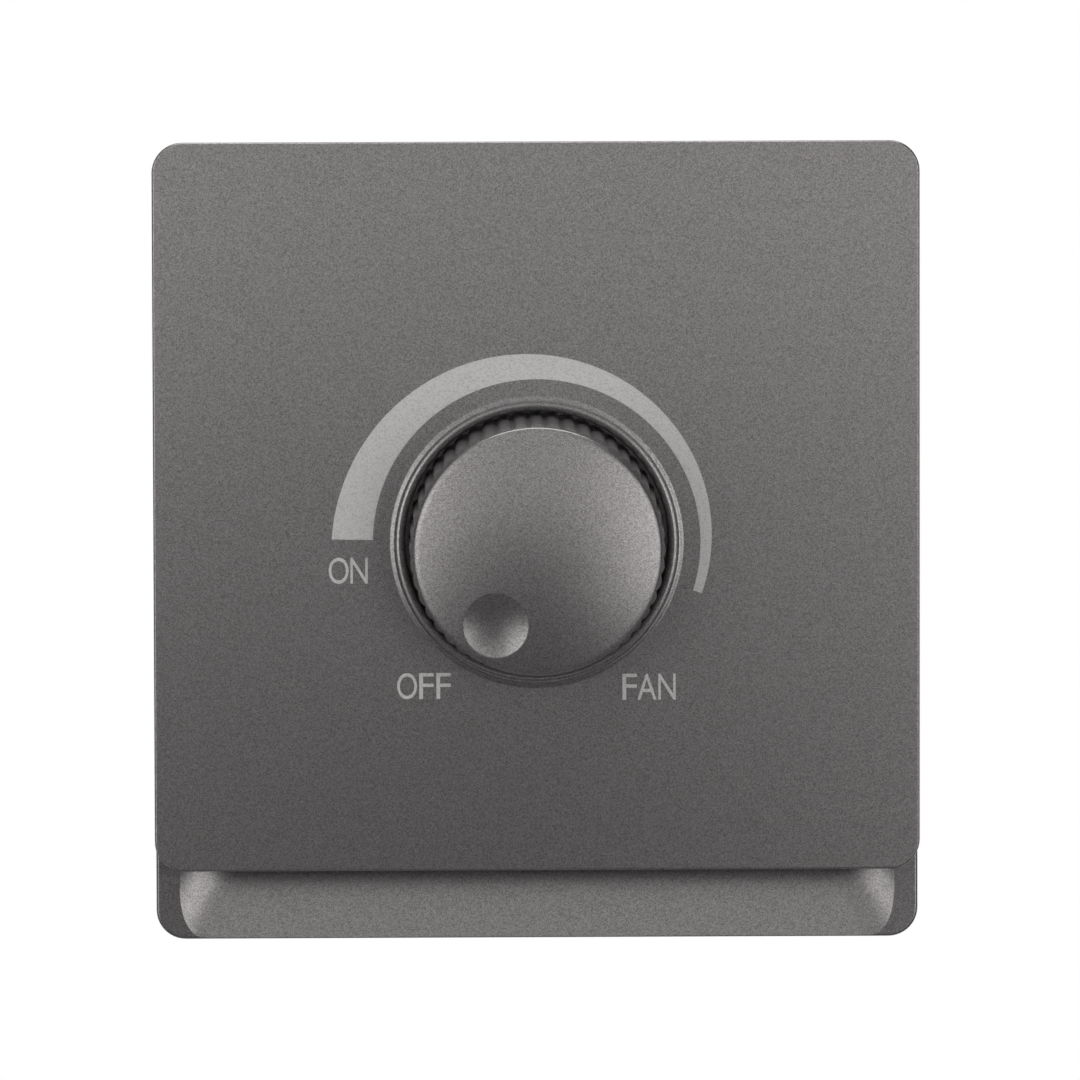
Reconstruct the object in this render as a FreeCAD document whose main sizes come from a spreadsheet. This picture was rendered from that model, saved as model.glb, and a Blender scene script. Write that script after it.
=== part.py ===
import FreeCAD, Part
import math
import operator
import os
from types import SimpleNamespace
import Sketcher

# Fan speed control for a wall box: a ribbed dial that turns a switched potentiometer, in a painted
# front plate that clips on a mounting frame, with the phase control circuit in a housing behind it.
# Millimetres. +X is right, +Z is up and the dial faces -Y. The origin is on the wall plane, on the
# dial axis. Places along the dial axis are given as distances forward of the wall, towards -Y.

doc = FreeCAD.newDocument("FanSpeedControl")

SIZES = {
    # Front plate. Its upper and lower edges are measured from the dial axis.
    "plate_width": 86.0,
    "plate_top": 45.1,
    "plate_bottom": 37.15,
    "plate_corner": 3.4,
    "plate_depth": 4.0,
    "plate_face": 2.0,
    "plate_skirt": 1.8,
    "plate_taper": 0.4,
    "plate_edge_round": 0.25,
    "bead_width": 0.6,
    "bead_height": 0.5,
    "bead_round": 0.9,
    "hook_offset": 38.2,
    "hook_height": 20.0,
    "hook_width": 8.0,
    "hook_thickness": 1.6,
    "hook_barb": 1.0,
    "hook_nose": 1.6,
    "hook_play": 0.2,
    # Mounting frame with the pull recess in its lower lip.
    "frame_top_inset": 1.1,
    "frame_bottom": 45.3,
    "frame_side_inset": 0.15,
    "frame_corner": 3.3,
    "frame_depth": 5.0,
    "frame_edge_round": 0.3,
    "frame_skirt": 2.0,
    "web_thickness": 2.0,
    "lip_height": 10.7,
    "lip_coring": 1.2,
    "recess_depth": 2.2,
    "recess_floor_half": 32.9,
    "recess_floor_spread": 4.0,
    "recess_end_round": 13.0,
    "recess_under_plate": 1.5,
    "recess_overrun": 0.4,
    "fixing_spacing": 60.3,
    "fixing_radius": 2.25,
    "fixing_slot": 6.0,
    "fixing_head_room": 4.0,
    "fixing_seat": 2.0,
    "fixing_sink": 2.0,
    "fixing_wall": 1.2,
    # Dial cup that stands in the plate's round opening.
    "cup_wall": 0.95,
    "cup_rim_land": 0.15,
    "cup_rim_round": 0.1,
    "cup_rim_slope": 0.15,
    "cup_rim_rise": 0.45,
    "cup_gap": 0.24,
    "cup_flange_width": 2.3,
    "cup_flange_thickness": 1.0,
    "cup_floor": 1.5,
    "cup_sink": 1.0,
    # Dial knob.
    "knob_radius": 13.95,
    "knob_gap": 0.45,
    "knob_rib_round": 1.1,
    "knob_rib_rise": 0.35,
    "knob_rib_count": 48,
    "knob_length": 14.4,
    "knob_lift": 0.8,
    "knob_dome": 1.4,
    "knob_crown": 0.3,
    "knob_edge_round": 0.3,
    "knob_rib_setback": 0.3,
    "knob_wall": 1.6,
    "knob_top": 2.6,
    "knob_hub": 5.2,
    "knob_hub_gap": 0.5,
    "knob_web": 1.2,
    "dimple_radius": 3.67,
    "dimple_depth": 0.75,
    "dimple_orbit": 9.45,
    "dimple_angle": 30.0,
    # Potentiometer with its mains switch.
    "bush_radius": 3.5,
    "bush_length": 5.4,
    "bush_plate_size": 17.0,
    "bush_plate_thickness": 1.2,
    "bush_hole_gap": 0.1,
    "shaft_radius": 3.0,
    "shaft_flat": 1.5,
    "shaft_length": 13.4,
    "shaft_play": 0.05,
    "rotor_radius": 6.6,
    "rotor_thickness": 1.6,
    "rotor_gap": 1.2,
    "wiper_thickness": 0.4,
    "wiper_width": 2.4,
    "wiper_gap": 0.05,
    "wafer_thickness": 1.2,
    "wafer_tail": 11.6,
    "wafer_tail_half_width": 7.0,
    "can_radius": 8.5,
    "can_depth": 7.0,
    "can_wall": 0.6,
    "switch_radius": 8.0,
    "switch_depth": 4.8,
    "pin_radius": 0.5,
    "pin_pitch": 5.0,
    "pin_drop": 10.2,
    "switch_pin_spread": 3.5,
    "washer_radius": 6.0,
    "washer_thickness": 0.5,
    "nut_flats": 10.0,
    "nut_thickness": 2.2,
    # Rear housing and the board on its posts.
    "housing_play": 0.2,
    "housing_height": 50.0,
    "housing_corner": 3.0,
    "housing_wall": 1.8,
    "ear_spread": 18.0,
    "ear_reach": 3.2,
    "ear_half_width": 3.6,
    "ear_thickness": 2.0,
    "vent_width": 2.0,
    "vent_length": 15.0,
    "vent_pitch": 5.0,
    "vent_count": 6,
    "vent_height": 9.0,
    "side_vent_length": 8.6,
    "side_vent_count": 4,
    "board_margin": 1.4,
    "board_thickness": 1.6,
    "board_corner": 1.5,
    "board_screw_inset": 3.0,
    "post_radius": 2.6,
    # Screws.
    "housing_screw_head": 2.6,
    "housing_screw_head_depth": 1.8,
    "housing_screw_shank": 1.4,
    "housing_screw_length": 4.2,
    "screw_boss_wall": 1.7,
    "screw_boss_end": 0.9,
    "board_screw_head": 2.3,
    "board_screw_head_depth": 1.6,
    "board_screw_shank": 1.2,
    "board_screw_length": 7.0,
    "screw_clearance": 0.15,
    "thread_clearance": 0.02,
    "pilot_spare": 0.4,
    # Triac on its folded heat sink.
    "sink_half_width": 14.0,
    "sink_gap": 1.8,
    "sink_height": 10.0,
    "sink_sheet": 1.6,
    "sink_rise": 8.0,
    "triac_tab_length": 15.3,
    "triac_tab_start": 9.5,
    "triac_tab_thickness": 1.3,
    "triac_width": 9.8,
    "triac_body_length": 9.0,
    "triac_body_depth": 3.1,
    "triac_lead_pitch": 2.54,
    "triac_lead_width": 0.8,
    "triac_lead_thickness": 0.5,
    "triac_lead_reach": 3.4,
    "triac_hole_inset": 2.9,
    "triac_screw_radius": 1.45,
    "triac_screw_head": 2.75,
    "triac_screw_head_depth": 2.0,
    "triac_screw_spare": 0.9,
    "triac_nut_flats": 5.5,
    "triac_nut_thickness": 2.4,
    # Circuit pieces on the board.
    "lead_radius": 0.35,
    "lead_gap": 0.1,
    "lead_tail": 0.6,
    "lead_bend": 0.8,
    "axial_lift": 0.4,
    "film_left": 11.5,
    "film_width": 6.5,
    "film_base": -8.6,
    "film_length": 15.0,
    "film_height": 11.0,
    "film_lead_inset": 2.5,
    "choke_x": 13.9,
    "choke_z": 7.5,
    "core_radius": 5.8,
    "core_bore": 2.8,
    "core_height": 5.0,
    "winding_build": 0.7,
    "winding_gap": 0.05,
    "winding_arc": 300.0,
    "timing_width": 6.4,
    "timing_thickness": 3.0,
    "timing_height": 7.0,
    "timing_edge": 2.3,
    "timing_pitch": 3.4,
    "timing_lead_spread": 2.5,
    "resistor_x": 10.8,
    "resistor_edge": 2.2,
    "resistor_pitch": 3.2,
    "resistor_radius": 1.2,
    "resistor_length": 5.6,
    "resistor_half_span": 3.8,
    "diac_x": 15.0,
    "diac_z": 6.4,
    "diac_radius": 0.95,
    "diac_length": 4.0,
    "diac_half_span": 3.6,
    # Two pole terminal block behind the board.
    "terminal_pitch": 10.0,
    "terminal_half_width": 10.0,
    "terminal_gap": 1.6,
    "terminal_height": 10.2,
    "terminal_depth": 12.2,
    "terminal_wall": 1.4,
    "terminal_lift": 0.8,
    "clamp_width": 6.0,
    "clamp_height": 7.0,
    "clamp_depth": 8.0,
    "clamp_play": 0.1,
    "clamp_bore": 1.75,
    "clamp_bore_inset": 3.4,
    "clamp_pin": 1.2,
    "clamp_screw_radius": 1.5,
    "clamp_screw_head": 1.9,
    "clamp_screw_head_depth": 1.6,
    "wire_entry_margin": 0.2,
    "wire_window_margin": 0.6,
    "rear_clearance": 0.4,
}

sheet = doc.addObject("Spreadsheet::Sheet", "Sizes")
for row, (alias, number) in enumerate(SIZES.items(), start=1):
    sheet.set(f"A{row}", alias)
    sheet.set(f"B{row}", str(number))
    sheet.setAlias(f"B{row}", alias)
doc.recompute()


class Size:
    """A number together with the spreadsheet formula that gives it."""

    def __init__(self, value, formula):
        self.value = value
        self.formula = formula

    def combine(self, sign, other, work):
        term = as_size(other)
        return Size(work(self.value, term.value), f"({self.formula} {sign} {term.formula})")

    def __add__(self, other):
        return self.combine("+", other, operator.add)

    def __sub__(self, other):
        return self.combine("-", other, operator.sub)

    def __mul__(self, other):
        return self.combine("*", other, operator.mul)

    def __truediv__(self, other):
        return self.combine("/", other, operator.truediv)

    def __rmul__(self, other):
        return as_size(other) * self

    def __neg__(self):
        return as_size(0) - self

    def root(self):
        return Size(math.sqrt(self.value), f"sqrt({self.formula})")

    def sine(self):
        return Size(math.sin(math.radians(self.value)), f"sin({self.formula} * 1deg)")

    def cosine(self):
        return Size(math.cos(math.radians(self.value)), f"cos({self.formula} * 1deg)")


def as_size(term):
    return term if isinstance(term, Size) else Size(float(term), repr(float(term)))


s = SimpleNamespace(**{alias: Size(float(sheet.get(alias)), f"Sizes.{alias}") for alias in SIZES})
ZERO = as_size(0)
TINY = 1e-6
nodes = []


def bind(thing, name, size):
    thing.setExpression(name, as_size(size).formula)


def origin_feature(body, role):
    return next(feature for feature in body.Origin.OriginFeatures if feature.Role == role)


class Drawing:
    """A sketch on one of a body's own planes, with each dimension bound to a Size.

    On XZ_Plane the sketch is read as seen from the front, and lift is its distance forward of the
    wall. On XY_Plane it is a plan of the object, so a place forward of the wall is drawn at -y.
    """

    def __init__(self, body, name, plane="XZ_Plane", lift=ZERO, across=ZERO, along=ZERO):
        self.body = body
        self.sketch = body.newObject("Sketcher::SketchObject", name)
        self.sketch.AttachmentSupport = (origin_feature(body, plane), [""])
        self.sketch.MapMode = "FlatFace"
        for axis, shift in (("x", across), ("y", along), ("z", lift)):
            bind(self.sketch, f"AttachmentOffset.Base.{axis}", shift)

    def dimension(self, kind, references, size):
        index = self.sketch.addConstraint(Sketcher.Constraint(kind, *references, size.value))
        name = f"{kind}{index}"
        self.sketch.renameConstraint(index, name)
        self.sketch.setExpression(f"Constraints.{name}", size.formula)

    def place(self, edge, end, x, y):
        self.dimension("DistanceX", (-1, 1, edge, end), as_size(x))
        self.dimension("DistanceY", (-1, 1, edge, end), as_size(y))

    def circle(self, x, y, radius):
        centre = FreeCAD.Vector(as_size(x).value, as_size(y).value, 0)
        shape = Part.Circle(centre, FreeCAD.Vector(0, 0, 1), radius.value)
        edge = self.sketch.addGeometry(shape, False)
        self.place(edge, 3, x, y)
        self.dimension("Radius", (edge,), radius)

    def outline(self, *steps, closed=True):
        """Line through the steps. A step is (x, y), or (x, y, radius, turn) for an arc that ends
        there, with turn "left" for a centre on the left of the way it is drawn."""
        points = [(as_size(step[0]), as_size(step[1])) for step in steps]
        ends = []
        for index in range(0 if closed else 1, len(steps)):
            start = FreeCAD.Vector(*[size.value for size in points[index - 1]], 0)
            stop = FreeCAD.Vector(*[size.value for size in points[index]], 0)
            if len(steps[index]) == 2:
                edge = self.sketch.addGeometry(Part.LineSegment(start, stop), False)
                ends.append((edge, 1, 2))
            else:
                ends.append(self.arc(start, stop, *steps[index][2:]))
        for (edge, begin, finish), point in zip(ends, points[-len(ends):]):
            self.place(edge, finish, *point)
        if not closed:
            self.place(*ends[0][:2], *points[0])
        for (edge, begin, finish), (next_edge, next_begin, next_finish) in zip(ends, ends[1:]):
            self.meet(edge, finish, next_edge, next_begin)
        if closed:
            self.meet(*ends[-1][::2], *ends[0][:2])

    def meet(self, edge, end, next_edge, next_end):
        self.sketch.addConstraint(Sketcher.Constraint("Coincident", edge, end, next_edge, next_end))

    def arc(self, start, stop, radius, turn):
        chord = stop - start
        rise = math.sqrt(max(radius.value ** 2 - (chord.Length / 2) ** 2, 0))
        left_side = FreeCAD.Vector(-chord.y, chord.x, 0).normalize()
        centre = (start + stop) / 2 + left_side * (rise if turn == "left" else -rise)
        first, last = (start, stop) if turn == "left" else (stop, start)
        angles = [math.atan2(point.y - centre.y, point.x - centre.x) for point in (first, last)]
        circle = Part.Circle(centre, FreeCAD.Vector(0, 0, 1), radius.value)
        edge = self.sketch.addGeometry(Part.ArcOfCircle(circle, *angles), False)
        self.dimension("Radius", (edge,), radius)
        return (edge, 1, 2) if turn == "left" else (edge, 2, 1)

    def rectangle(self, left, right, bottom, top):
        self.outline((left, bottom), (right, bottom), (right, top), (left, top))

    def rounded(self, left, right, bottom, top, corner):
        """Rectangle with four round corners."""
        left, right, bottom, top = [as_size(edge) for edge in (left, right, bottom, top)]
        self.outline(
            (right - corner, bottom), (right, bottom + corner, corner, "left"),
            (right, top - corner), (right - corner, top, corner, "left"),
            (left + corner, top), (left, top - corner, corner, "left"),
            (left, bottom + corner), (left + corner, bottom, corner, "left"))

    def slot(self, x, y, length, radius):
        """Slot with round ends that runs across the sketch."""
        reach = length / 2 - radius
        left, right = as_size(x) - reach, as_size(x) + reach
        low, high = as_size(y) - radius, as_size(y) + radius
        self.outline((right, low), (right + radius, y, radius, "left"), (right, high, radius, "left"),
                     (left, high), (left - radius, y, radius, "left"), (left, low, radius, "left"))


def new_body(label):
    body = doc.addObject("PartDesign::Body", label)
    body.Label = label
    nodes.append(body)
    return body


def pad(drawing, length):
    """Adds material along the sketch's normal, which is forward for a sketch on XZ_Plane."""
    feature = drawing.body.newObject("PartDesign::Pad", drawing.sketch.Name + "_pad")
    feature.Profile = drawing.sketch
    bind(feature, "Length", length)
    return feature


def cut(drawing, length, along_normal=True):
    feature = drawing.body.newObject("PartDesign::Pocket", drawing.sketch.Name + "_cut")
    feature.Profile = drawing.sketch
    feature.Reversed = along_normal
    bind(feature, "Length", length)
    return feature


def turn(drawing, angle=as_size(360)):
    """Revolves a plan sketch about its own upright axis, which lies along the dial axis."""
    feature = drawing.body.newObject("PartDesign::Revolution", drawing.sketch.Name + "_turn")
    feature.Profile = drawing.sketch
    feature.ReferenceAxis = (drawing.sketch, ["V_Axis"])
    bind(feature, "Angle", angle)
    return feature


def corners(x, z):
    """The four places at +-x, +-z."""
    return [(x * side, z * level) for level in (-1, 1) for side in (-1, 1)]


def edges_where(feature, test):
    doc.recompute()
    return [f"Edge{index}" for index, edge in enumerate(feature.Shape.Edges, start=1) if test(edge)]


def round_front(body, feature, level, radius):
    """Rounds every edge that lies in the plane at one level forward of the wall."""
    edges = edges_where(feature, lambda edge: abs(edge.BoundBox.YMax + level.value) < TINY
                        and edge.BoundBox.YLength < TINY)
    fillet = body.newObject("PartDesign::Fillet", feature.Name + "_edge")
    fillet.Base = (feature, edges)
    bind(fillet, "Radius", radius)
    return fillet


FORWARD = FreeCAD.Rotation(FreeCAD.Vector(1, 0, 0), 90)
UPWARD = FreeCAD.Rotation()


def set_place(solid, rotation, x, forward, z):
    solid.Placement = FreeCAD.Placement(FreeCAD.Vector(), rotation)
    for axis, size in (("x", x), ("y", -as_size(forward)), ("z", z)):
        bind(solid, f"Placement.Base.{axis}", size)
    return solid


def rod(name, x, z, back, front, radius):
    """Round rod along the dial axis, from its back end to its front end."""
    solid = doc.addObject("Part::Cylinder", name)
    bind(solid, "Radius", radius)
    bind(solid, "Height", as_size(front) - back)
    return set_place(solid, FORWARD, x, back, z)


def block(name, left, right, bottom, top, back, front):
    solid = doc.addObject("Part::Box", name)
    bind(solid, "Length", as_size(right) - left)
    bind(solid, "Width", as_size(front) - back)
    bind(solid, "Height", as_size(top) - bottom)
    return set_place(solid, UPWARD, left, front, bottom)


def hexagon(name, x, z, back, front, flats):
    solid = doc.addObject("Part::Prism", name)
    solid.Polygon = 6
    bind(solid, "Circumradius", flats / as_size(3).root())
    bind(solid, "Height", as_size(front) - back)
    return set_place(solid, FORWARD, x, back, z)


def joined(label, solids):
    fused = doc.addObject("Part::MultiFuse", label)
    fused.Label = label
    fused.Shapes = solids
    return fused


def without(label, base, tool):
    rest = doc.addObject("Part::Cut", label)
    rest.Label = label
    rest.Base = base
    rest.Tool = tool
    return rest


def keep(solid):
    nodes.append(solid)
    return solid


# Levels forward of the wall, and the outlines that several pieces share.
web_back = s.frame_depth - s.web_thickness
plate_front = s.frame_depth + s.plate_depth
plate_inside = plate_front - s.plate_face
plate_half = s.plate_width / 2
frame_half = plate_half - s.frame_side_inset
frame_top = s.plate_top - s.frame_top_inset
lip_top = s.lip_height - s.frame_bottom
cup_back = web_back - s.cup_sink
cup_inside = cup_back + s.cup_floor
rib_radius = s.knob_radius + s.knob_rib_rise
cup_bore = rib_radius + s.knob_gap
cup_radius = cup_bore + s.cup_wall
opening_radius = cup_radius + s.cup_gap
fixing_x = s.fixing_spacing / 2
fixing_seat_front = s.frame_depth - s.fixing_sink
fixing_seat_back = fixing_seat_front - s.fixing_seat
can_front = cup_back - s.bush_plate_thickness
can_back = can_front - s.can_depth
board_front = can_back - s.switch_depth
board_back = board_front - s.board_thickness
housing_inside = board_back - s.terminal_depth - s.rear_clearance
housing_back = housing_inside - s.housing_wall
seat_reach = s.fixing_slot / 2 + s.fixing_head_room / 2 + s.fixing_wall
housing_half = fixing_x - seat_reach - s.housing_play
housing_half_height = s.housing_height / 2
room_half = housing_half - s.housing_wall
room_half_height = housing_half_height - s.housing_wall
board_half = room_half - s.board_margin
board_half_height = room_half_height - s.board_margin
board_screw_x = board_half - s.board_screw_inset
board_screw_z = board_half_height - s.board_screw_inset
lead_end = board_back - s.lead_tail
ear_height = housing_half_height + s.ear_reach
boss_radius = s.housing_screw_shank + s.screw_boss_wall
screw_tip = web_back - s.ear_thickness + s.housing_screw_length
pilot_end = screw_tip + s.pilot_spare
boss_front = pilot_end + s.screw_boss_end
pilot_radius = s.housing_screw_shank + s.thread_clearance
board_leads = []


# Mounting frame: moulded tray with a rim against the wall, screw slots, hook windows and a pull recess.
frame = new_body("base_frame")
rim = Drawing(frame, "frame_outline")
rim.rounded(-frame_half, frame_half, -s.frame_bottom, frame_top, s.frame_corner)
tray = pad(rim, s.frame_depth)
round_front(frame, tray, s.frame_depth, s.frame_edge_round)
inner_half = frame_half - s.frame_skirt
hollow = Drawing(frame, "frame_hollow")
hollow.rounded(-inner_half, inner_half, lip_top, frame_top - s.frame_skirt,
               s.frame_corner - s.frame_skirt)
cut(hollow, web_back)
coring = Drawing(frame, "lip_coring_outline")
coring.rectangle(-inner_half, inner_half, s.frame_skirt - s.frame_bottom, lip_top - s.frame_skirt)
cut(coring, s.lip_coring)
seats = Drawing(frame, "fixing_seats", lift=fixing_seat_back)
for side in (-1, 1):
    seats.slot(fixing_x * side, ZERO, 2 * seat_reach,
               s.fixing_radius + s.fixing_head_room / 2 + s.fixing_wall)
pad(seats, s.frame_depth - fixing_seat_back)
head_rooms = Drawing(frame, "fixing_head_rooms", lift=fixing_seat_front)
slots = Drawing(frame, "fixing_slots", lift=fixing_seat_back)
for side in (-1, 1):
    head_rooms.slot(fixing_x * side, ZERO, s.fixing_slot + s.fixing_head_room,
                    s.fixing_radius + s.fixing_head_room / 2)
    slots.slot(fixing_x * side, ZERO, s.fixing_slot, s.fixing_radius)
cut(head_rooms, s.fixing_sink)
cut(slots, s.fixing_seat)
windows = Drawing(frame, "hook_windows", lift=web_back)
window_outer = s.hook_offset + s.hook_play
window_inner = s.hook_offset - s.hook_thickness - s.hook_barb - s.hook_play
window_half = s.hook_width / 2 + s.hook_play
for x, z in corners((window_outer + window_inner) / 2, s.hook_height):
    half = (window_outer - window_inner) / 2
    windows.rectangle(x - half, x + half, z - window_half, z + window_half)
cut(windows, s.web_thickness)
bosses = Drawing(frame, "screw_bosses", lift=web_back)
pilots = Drawing(frame, "screw_pilots", lift=web_back)
for x, z in corners(s.ear_spread, ear_height):
    bosses.circle(x, z, boss_radius)
    pilots.circle(x, z, pilot_radius)
pad(bosses, boss_front - web_back)
cut(pilots, pilot_end - web_back)
opening = Drawing(frame, "cup_opening", lift=web_back)
opening.circle(ZERO, ZERO, opening_radius)
cut(opening, s.web_thickness)


# Pull recess: its floor slopes from the lip's lower edge back under the plate, and both ends are
# concave rounds that run out at the lower edge.
lip_showing = s.frame_bottom - s.plate_bottom
recess_slope = s.recess_depth / lip_showing
recess_rise = s.recess_depth + recess_slope * s.recess_under_plate + s.recess_overrun
recess_reach = (recess_rise * (2 * s.recess_end_round - recess_rise)).root()
recess_sections = []
for name, level in (("recess_top", s.recess_under_plate - s.plate_bottom),
                    ("recess_run_out", -(s.frame_bottom + s.recess_overrun))):
    recess_floor = s.frame_depth - recess_slope * (s.frame_bottom + level)
    recess_front = recess_floor + recess_rise
    floor_end = s.recess_floor_half - s.recess_floor_spread * (s.plate_bottom + level) / lip_showing
    mouth_end = floor_end + recess_reach
    recess_line = Drawing(frame, name, plane="XY_Plane", lift=level)
    recess_line.outline((floor_end, -recess_floor), (mouth_end, -recess_front, s.recess_end_round, "right"),
                        (-mouth_end, -recess_front),
                        (-floor_end, -recess_floor, s.recess_end_round, "right"))
    recess_sections.append(recess_line.sketch)
recess = frame.newObject("PartDesign::SubtractiveLoft", "pull_recess")
recess.Profile = recess_sections[0]
recess.Sections = recess_sections[1:]
recess.Ruled = True


# Front plate: painted moulding with a skirt, a bead round the dial opening and four hooks behind.
plate = new_body("front_plate")
back_half = plate_half - s.plate_taper
back_bottom, back_top = s.plate_bottom - s.plate_taper, s.plate_top - s.plate_taper
back_corner = s.plate_corner - s.plate_taper
back_line = Drawing(plate, "plate_back_outline", lift=s.frame_depth)
back_line.rounded(-back_half, back_half, -back_bottom, back_top, back_corner)
front_line = Drawing(plate, "plate_front_outline", lift=plate_front)
front_line.rounded(-plate_half, plate_half, -s.plate_bottom, s.plate_top, s.plate_corner)
slab = plate.newObject("PartDesign::AdditiveLoft", "plate_slab")
slab.Profile = back_line.sketch
slab.Sections = [front_line.sketch]
slab.Ruled = True
round_front(plate, slab, plate_front, s.plate_edge_round)
back = Drawing(plate, "plate_hollow", lift=s.frame_depth)
back.rounded(s.plate_skirt - back_half, back_half - s.plate_skirt, s.plate_skirt - back_bottom,
             back_top - s.plate_skirt, back_corner - s.plate_skirt)
cut(back, plate_inside - s.frame_depth)
bead = Drawing(plate, "opening_bead", plane="XY_Plane")
bead_root = opening_radius - s.bead_width
bead_foot = opening_radius + s.bead_width
bead_level = plate_front - s.plate_face / 2
bead.outline((bead_root, -bead_level), (bead_root, -(plate_front + s.bead_height)),
             (opening_radius, -(plate_front + s.bead_height)),
             (bead_foot, -plate_front, s.bead_round, "right"), (bead_foot, -bead_level))
turn(bead)
dial_opening = Drawing(plate, "dial_opening", lift=s.frame_depth)
dial_opening.circle(ZERO, ZERO, opening_radius)
cut(dial_opening, s.plate_depth + s.bead_height)
hook_end = web_back - s.hook_play - s.hook_nose
for name, level in (("upper_hooks", s.hook_height), ("lower_hooks", -s.hook_height)):
    hooks = Drawing(plate, name, plane="XY_Plane", lift=level - s.hook_width / 2)
    for side in (-1, 1):
        outer, inner = s.hook_offset * side, (s.hook_offset - s.hook_thickness) * side
        barb = (s.hook_offset + s.hook_barb) * side
        catch = web_back - s.hook_play
        hooks.outline((inner, -plate_inside), (outer, -plate_inside), (outer, -catch), (barb, -catch),
                      (outer, -hook_end), (inner, -hook_end))
    pad(hooks, s.hook_width)


# Dial cup: moulded insert that stands in the plate's opening and is clamped by the bush nut.
cup = new_body("dial_cup")
cup_section = Drawing(cup, "cup_section", plane="XY_Plane")
cup_rim = plate_front + s.cup_rim_rise
flange_front = s.frame_depth + s.cup_flange_thickness
cup_flange = cup_radius + s.cup_flange_width
bush_hole = s.bush_radius + s.bush_hole_gap
rim_land = cup_radius - s.cup_rim_land
cup_section.outline(
    (bush_hole, -cup_back), (cup_radius, -cup_back), (cup_radius, -s.frame_depth),
    (cup_flange, -s.frame_depth), (cup_flange, -flange_front), (cup_radius, -flange_front),
    (cup_radius, -cup_rim), (rim_land, -cup_rim), (cup_bore, -(cup_rim - s.cup_rim_slope)),
    (cup_bore, -cup_inside), (bush_hole, -cup_inside))
cup_shell = turn(cup_section)
round_front(cup, cup_shell, cup_rim, s.cup_rim_round)


# Knob: domed cap with a finger dimple, a ribbed skirt, and a hub with a flat sided bore.
knob = new_body("knob")
knob_back = cup_inside + s.knob_lift
knob_edge = knob_back + s.knob_length
dome_radius = (s.knob_radius * s.knob_radius + s.knob_dome * s.knob_dome) / (2 * s.knob_dome)
bush_front = cup_back + s.bush_length
shaft_front = cup_back + s.shaft_length
hub_back = bush_front + s.knob_hub_gap
skirt_bore = s.knob_radius - s.knob_wall
cap_inside = knob_edge - s.knob_top
cap_shoulder = s.knob_radius - s.knob_edge_round
dome_middle = knob_edge + s.knob_dome - dome_radius
shoulder_level = dome_middle + (dome_radius * dome_radius - cap_shoulder * cap_shoulder).root()
crown_level = dome_middle + (dome_radius * dome_radius - s.knob_crown * s.knob_crown).root()
section = Drawing(knob, "knob_section", plane="XY_Plane")
section.outline(
    (ZERO, -hub_back), (s.knob_hub, -hub_back), (s.knob_hub, -cap_inside), (skirt_bore, -cap_inside),
    (skirt_bore, -knob_back), (s.knob_radius, -knob_back),
    (s.knob_radius, -(shoulder_level - s.knob_edge_round)),
    (cap_shoulder, -shoulder_level, s.knob_edge_round, "right"),
    (s.knob_crown, -crown_level, dome_radius, "right"), (ZERO, -crown_level))
turn(section)
rib = Drawing(knob, "rib_round", lift=knob_back)
rib.circle(ZERO, rib_radius - s.knob_rib_round, s.knob_rib_round)
rib_pad = pad(rib, s.knob_length - s.knob_rib_setback)
ribs = knob.newObject("PartDesign::PolarPattern", "rib_ring")
ribs.Originals = [rib_pad]
ribs.Axis = (origin_feature(knob, "Y_Axis"), [""])
ribs.Angle = 360
bind(ribs, "Occurrences", s.knob_rib_count)
knob.Tip = ribs
webs = Drawing(knob, "hub_webs", lift=hub_back)
web_end = skirt_bore + s.knob_wall / 2
for left, right in ((-web_end, -s.knob_hub / 2), (s.knob_hub / 2, web_end)):
    webs.rectangle(left, right, -s.knob_web / 2, s.knob_web / 2)
    webs.rectangle(-s.knob_web / 2, s.knob_web / 2, left, right)
pad(webs, cap_inside + s.knob_wall / 2 - hub_back)


def flat_sided(drawing, radius, flat):
    """Round outline with one flat, which faces down on the sketch."""
    half = (radius * radius - flat * flat).root()
    drawing.outline((half, -flat), (radius, ZERO, radius, "left"), (ZERO, radius, radius, "left"),
                    (-radius, ZERO, radius, "left"), (-half, -flat, radius, "left"))


bore = Drawing(knob, "shaft_bore", lift=hub_back)
flat_sided(bore, s.shaft_radius + s.shaft_play, s.shaft_flat + s.shaft_play)
cut(bore, shaft_front + s.shaft_play - hub_back)
dimple = knob.newObject("PartDesign::SubtractiveSphere", "finger_dimple")
dimple.AttachmentSupport = (origin_feature(knob, "XZ_Plane"), [""])
dimple.MapMode = "FlatFace"
sideways = FreeCAD.Rotation(FreeCAD.Vector(0, 0, 1), FreeCAD.Vector(0, 1, 0))
dimple.AttachmentOffset = FreeCAD.Placement(FreeCAD.Vector(), sideways)
dimple_round = (s.dimple_radius * s.dimple_radius + s.dimple_depth * s.dimple_depth) \
    / (2 * s.dimple_depth)
dome_at_dimple = dome_middle + (dome_radius * dome_radius - s.dimple_orbit * s.dimple_orbit).root()
bind(dimple, "Radius", dimple_round)
bind(dimple, "AttachmentOffset.Base.x", -(s.dimple_orbit * s.dimple_angle.sine()))
bind(dimple, "AttachmentOffset.Base.y", -(s.dimple_orbit * s.dimple_angle.cosine()))
bind(dimple, "AttachmentOffset.Base.z", dome_at_dimple - s.dimple_depth + dimple_round)


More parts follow.
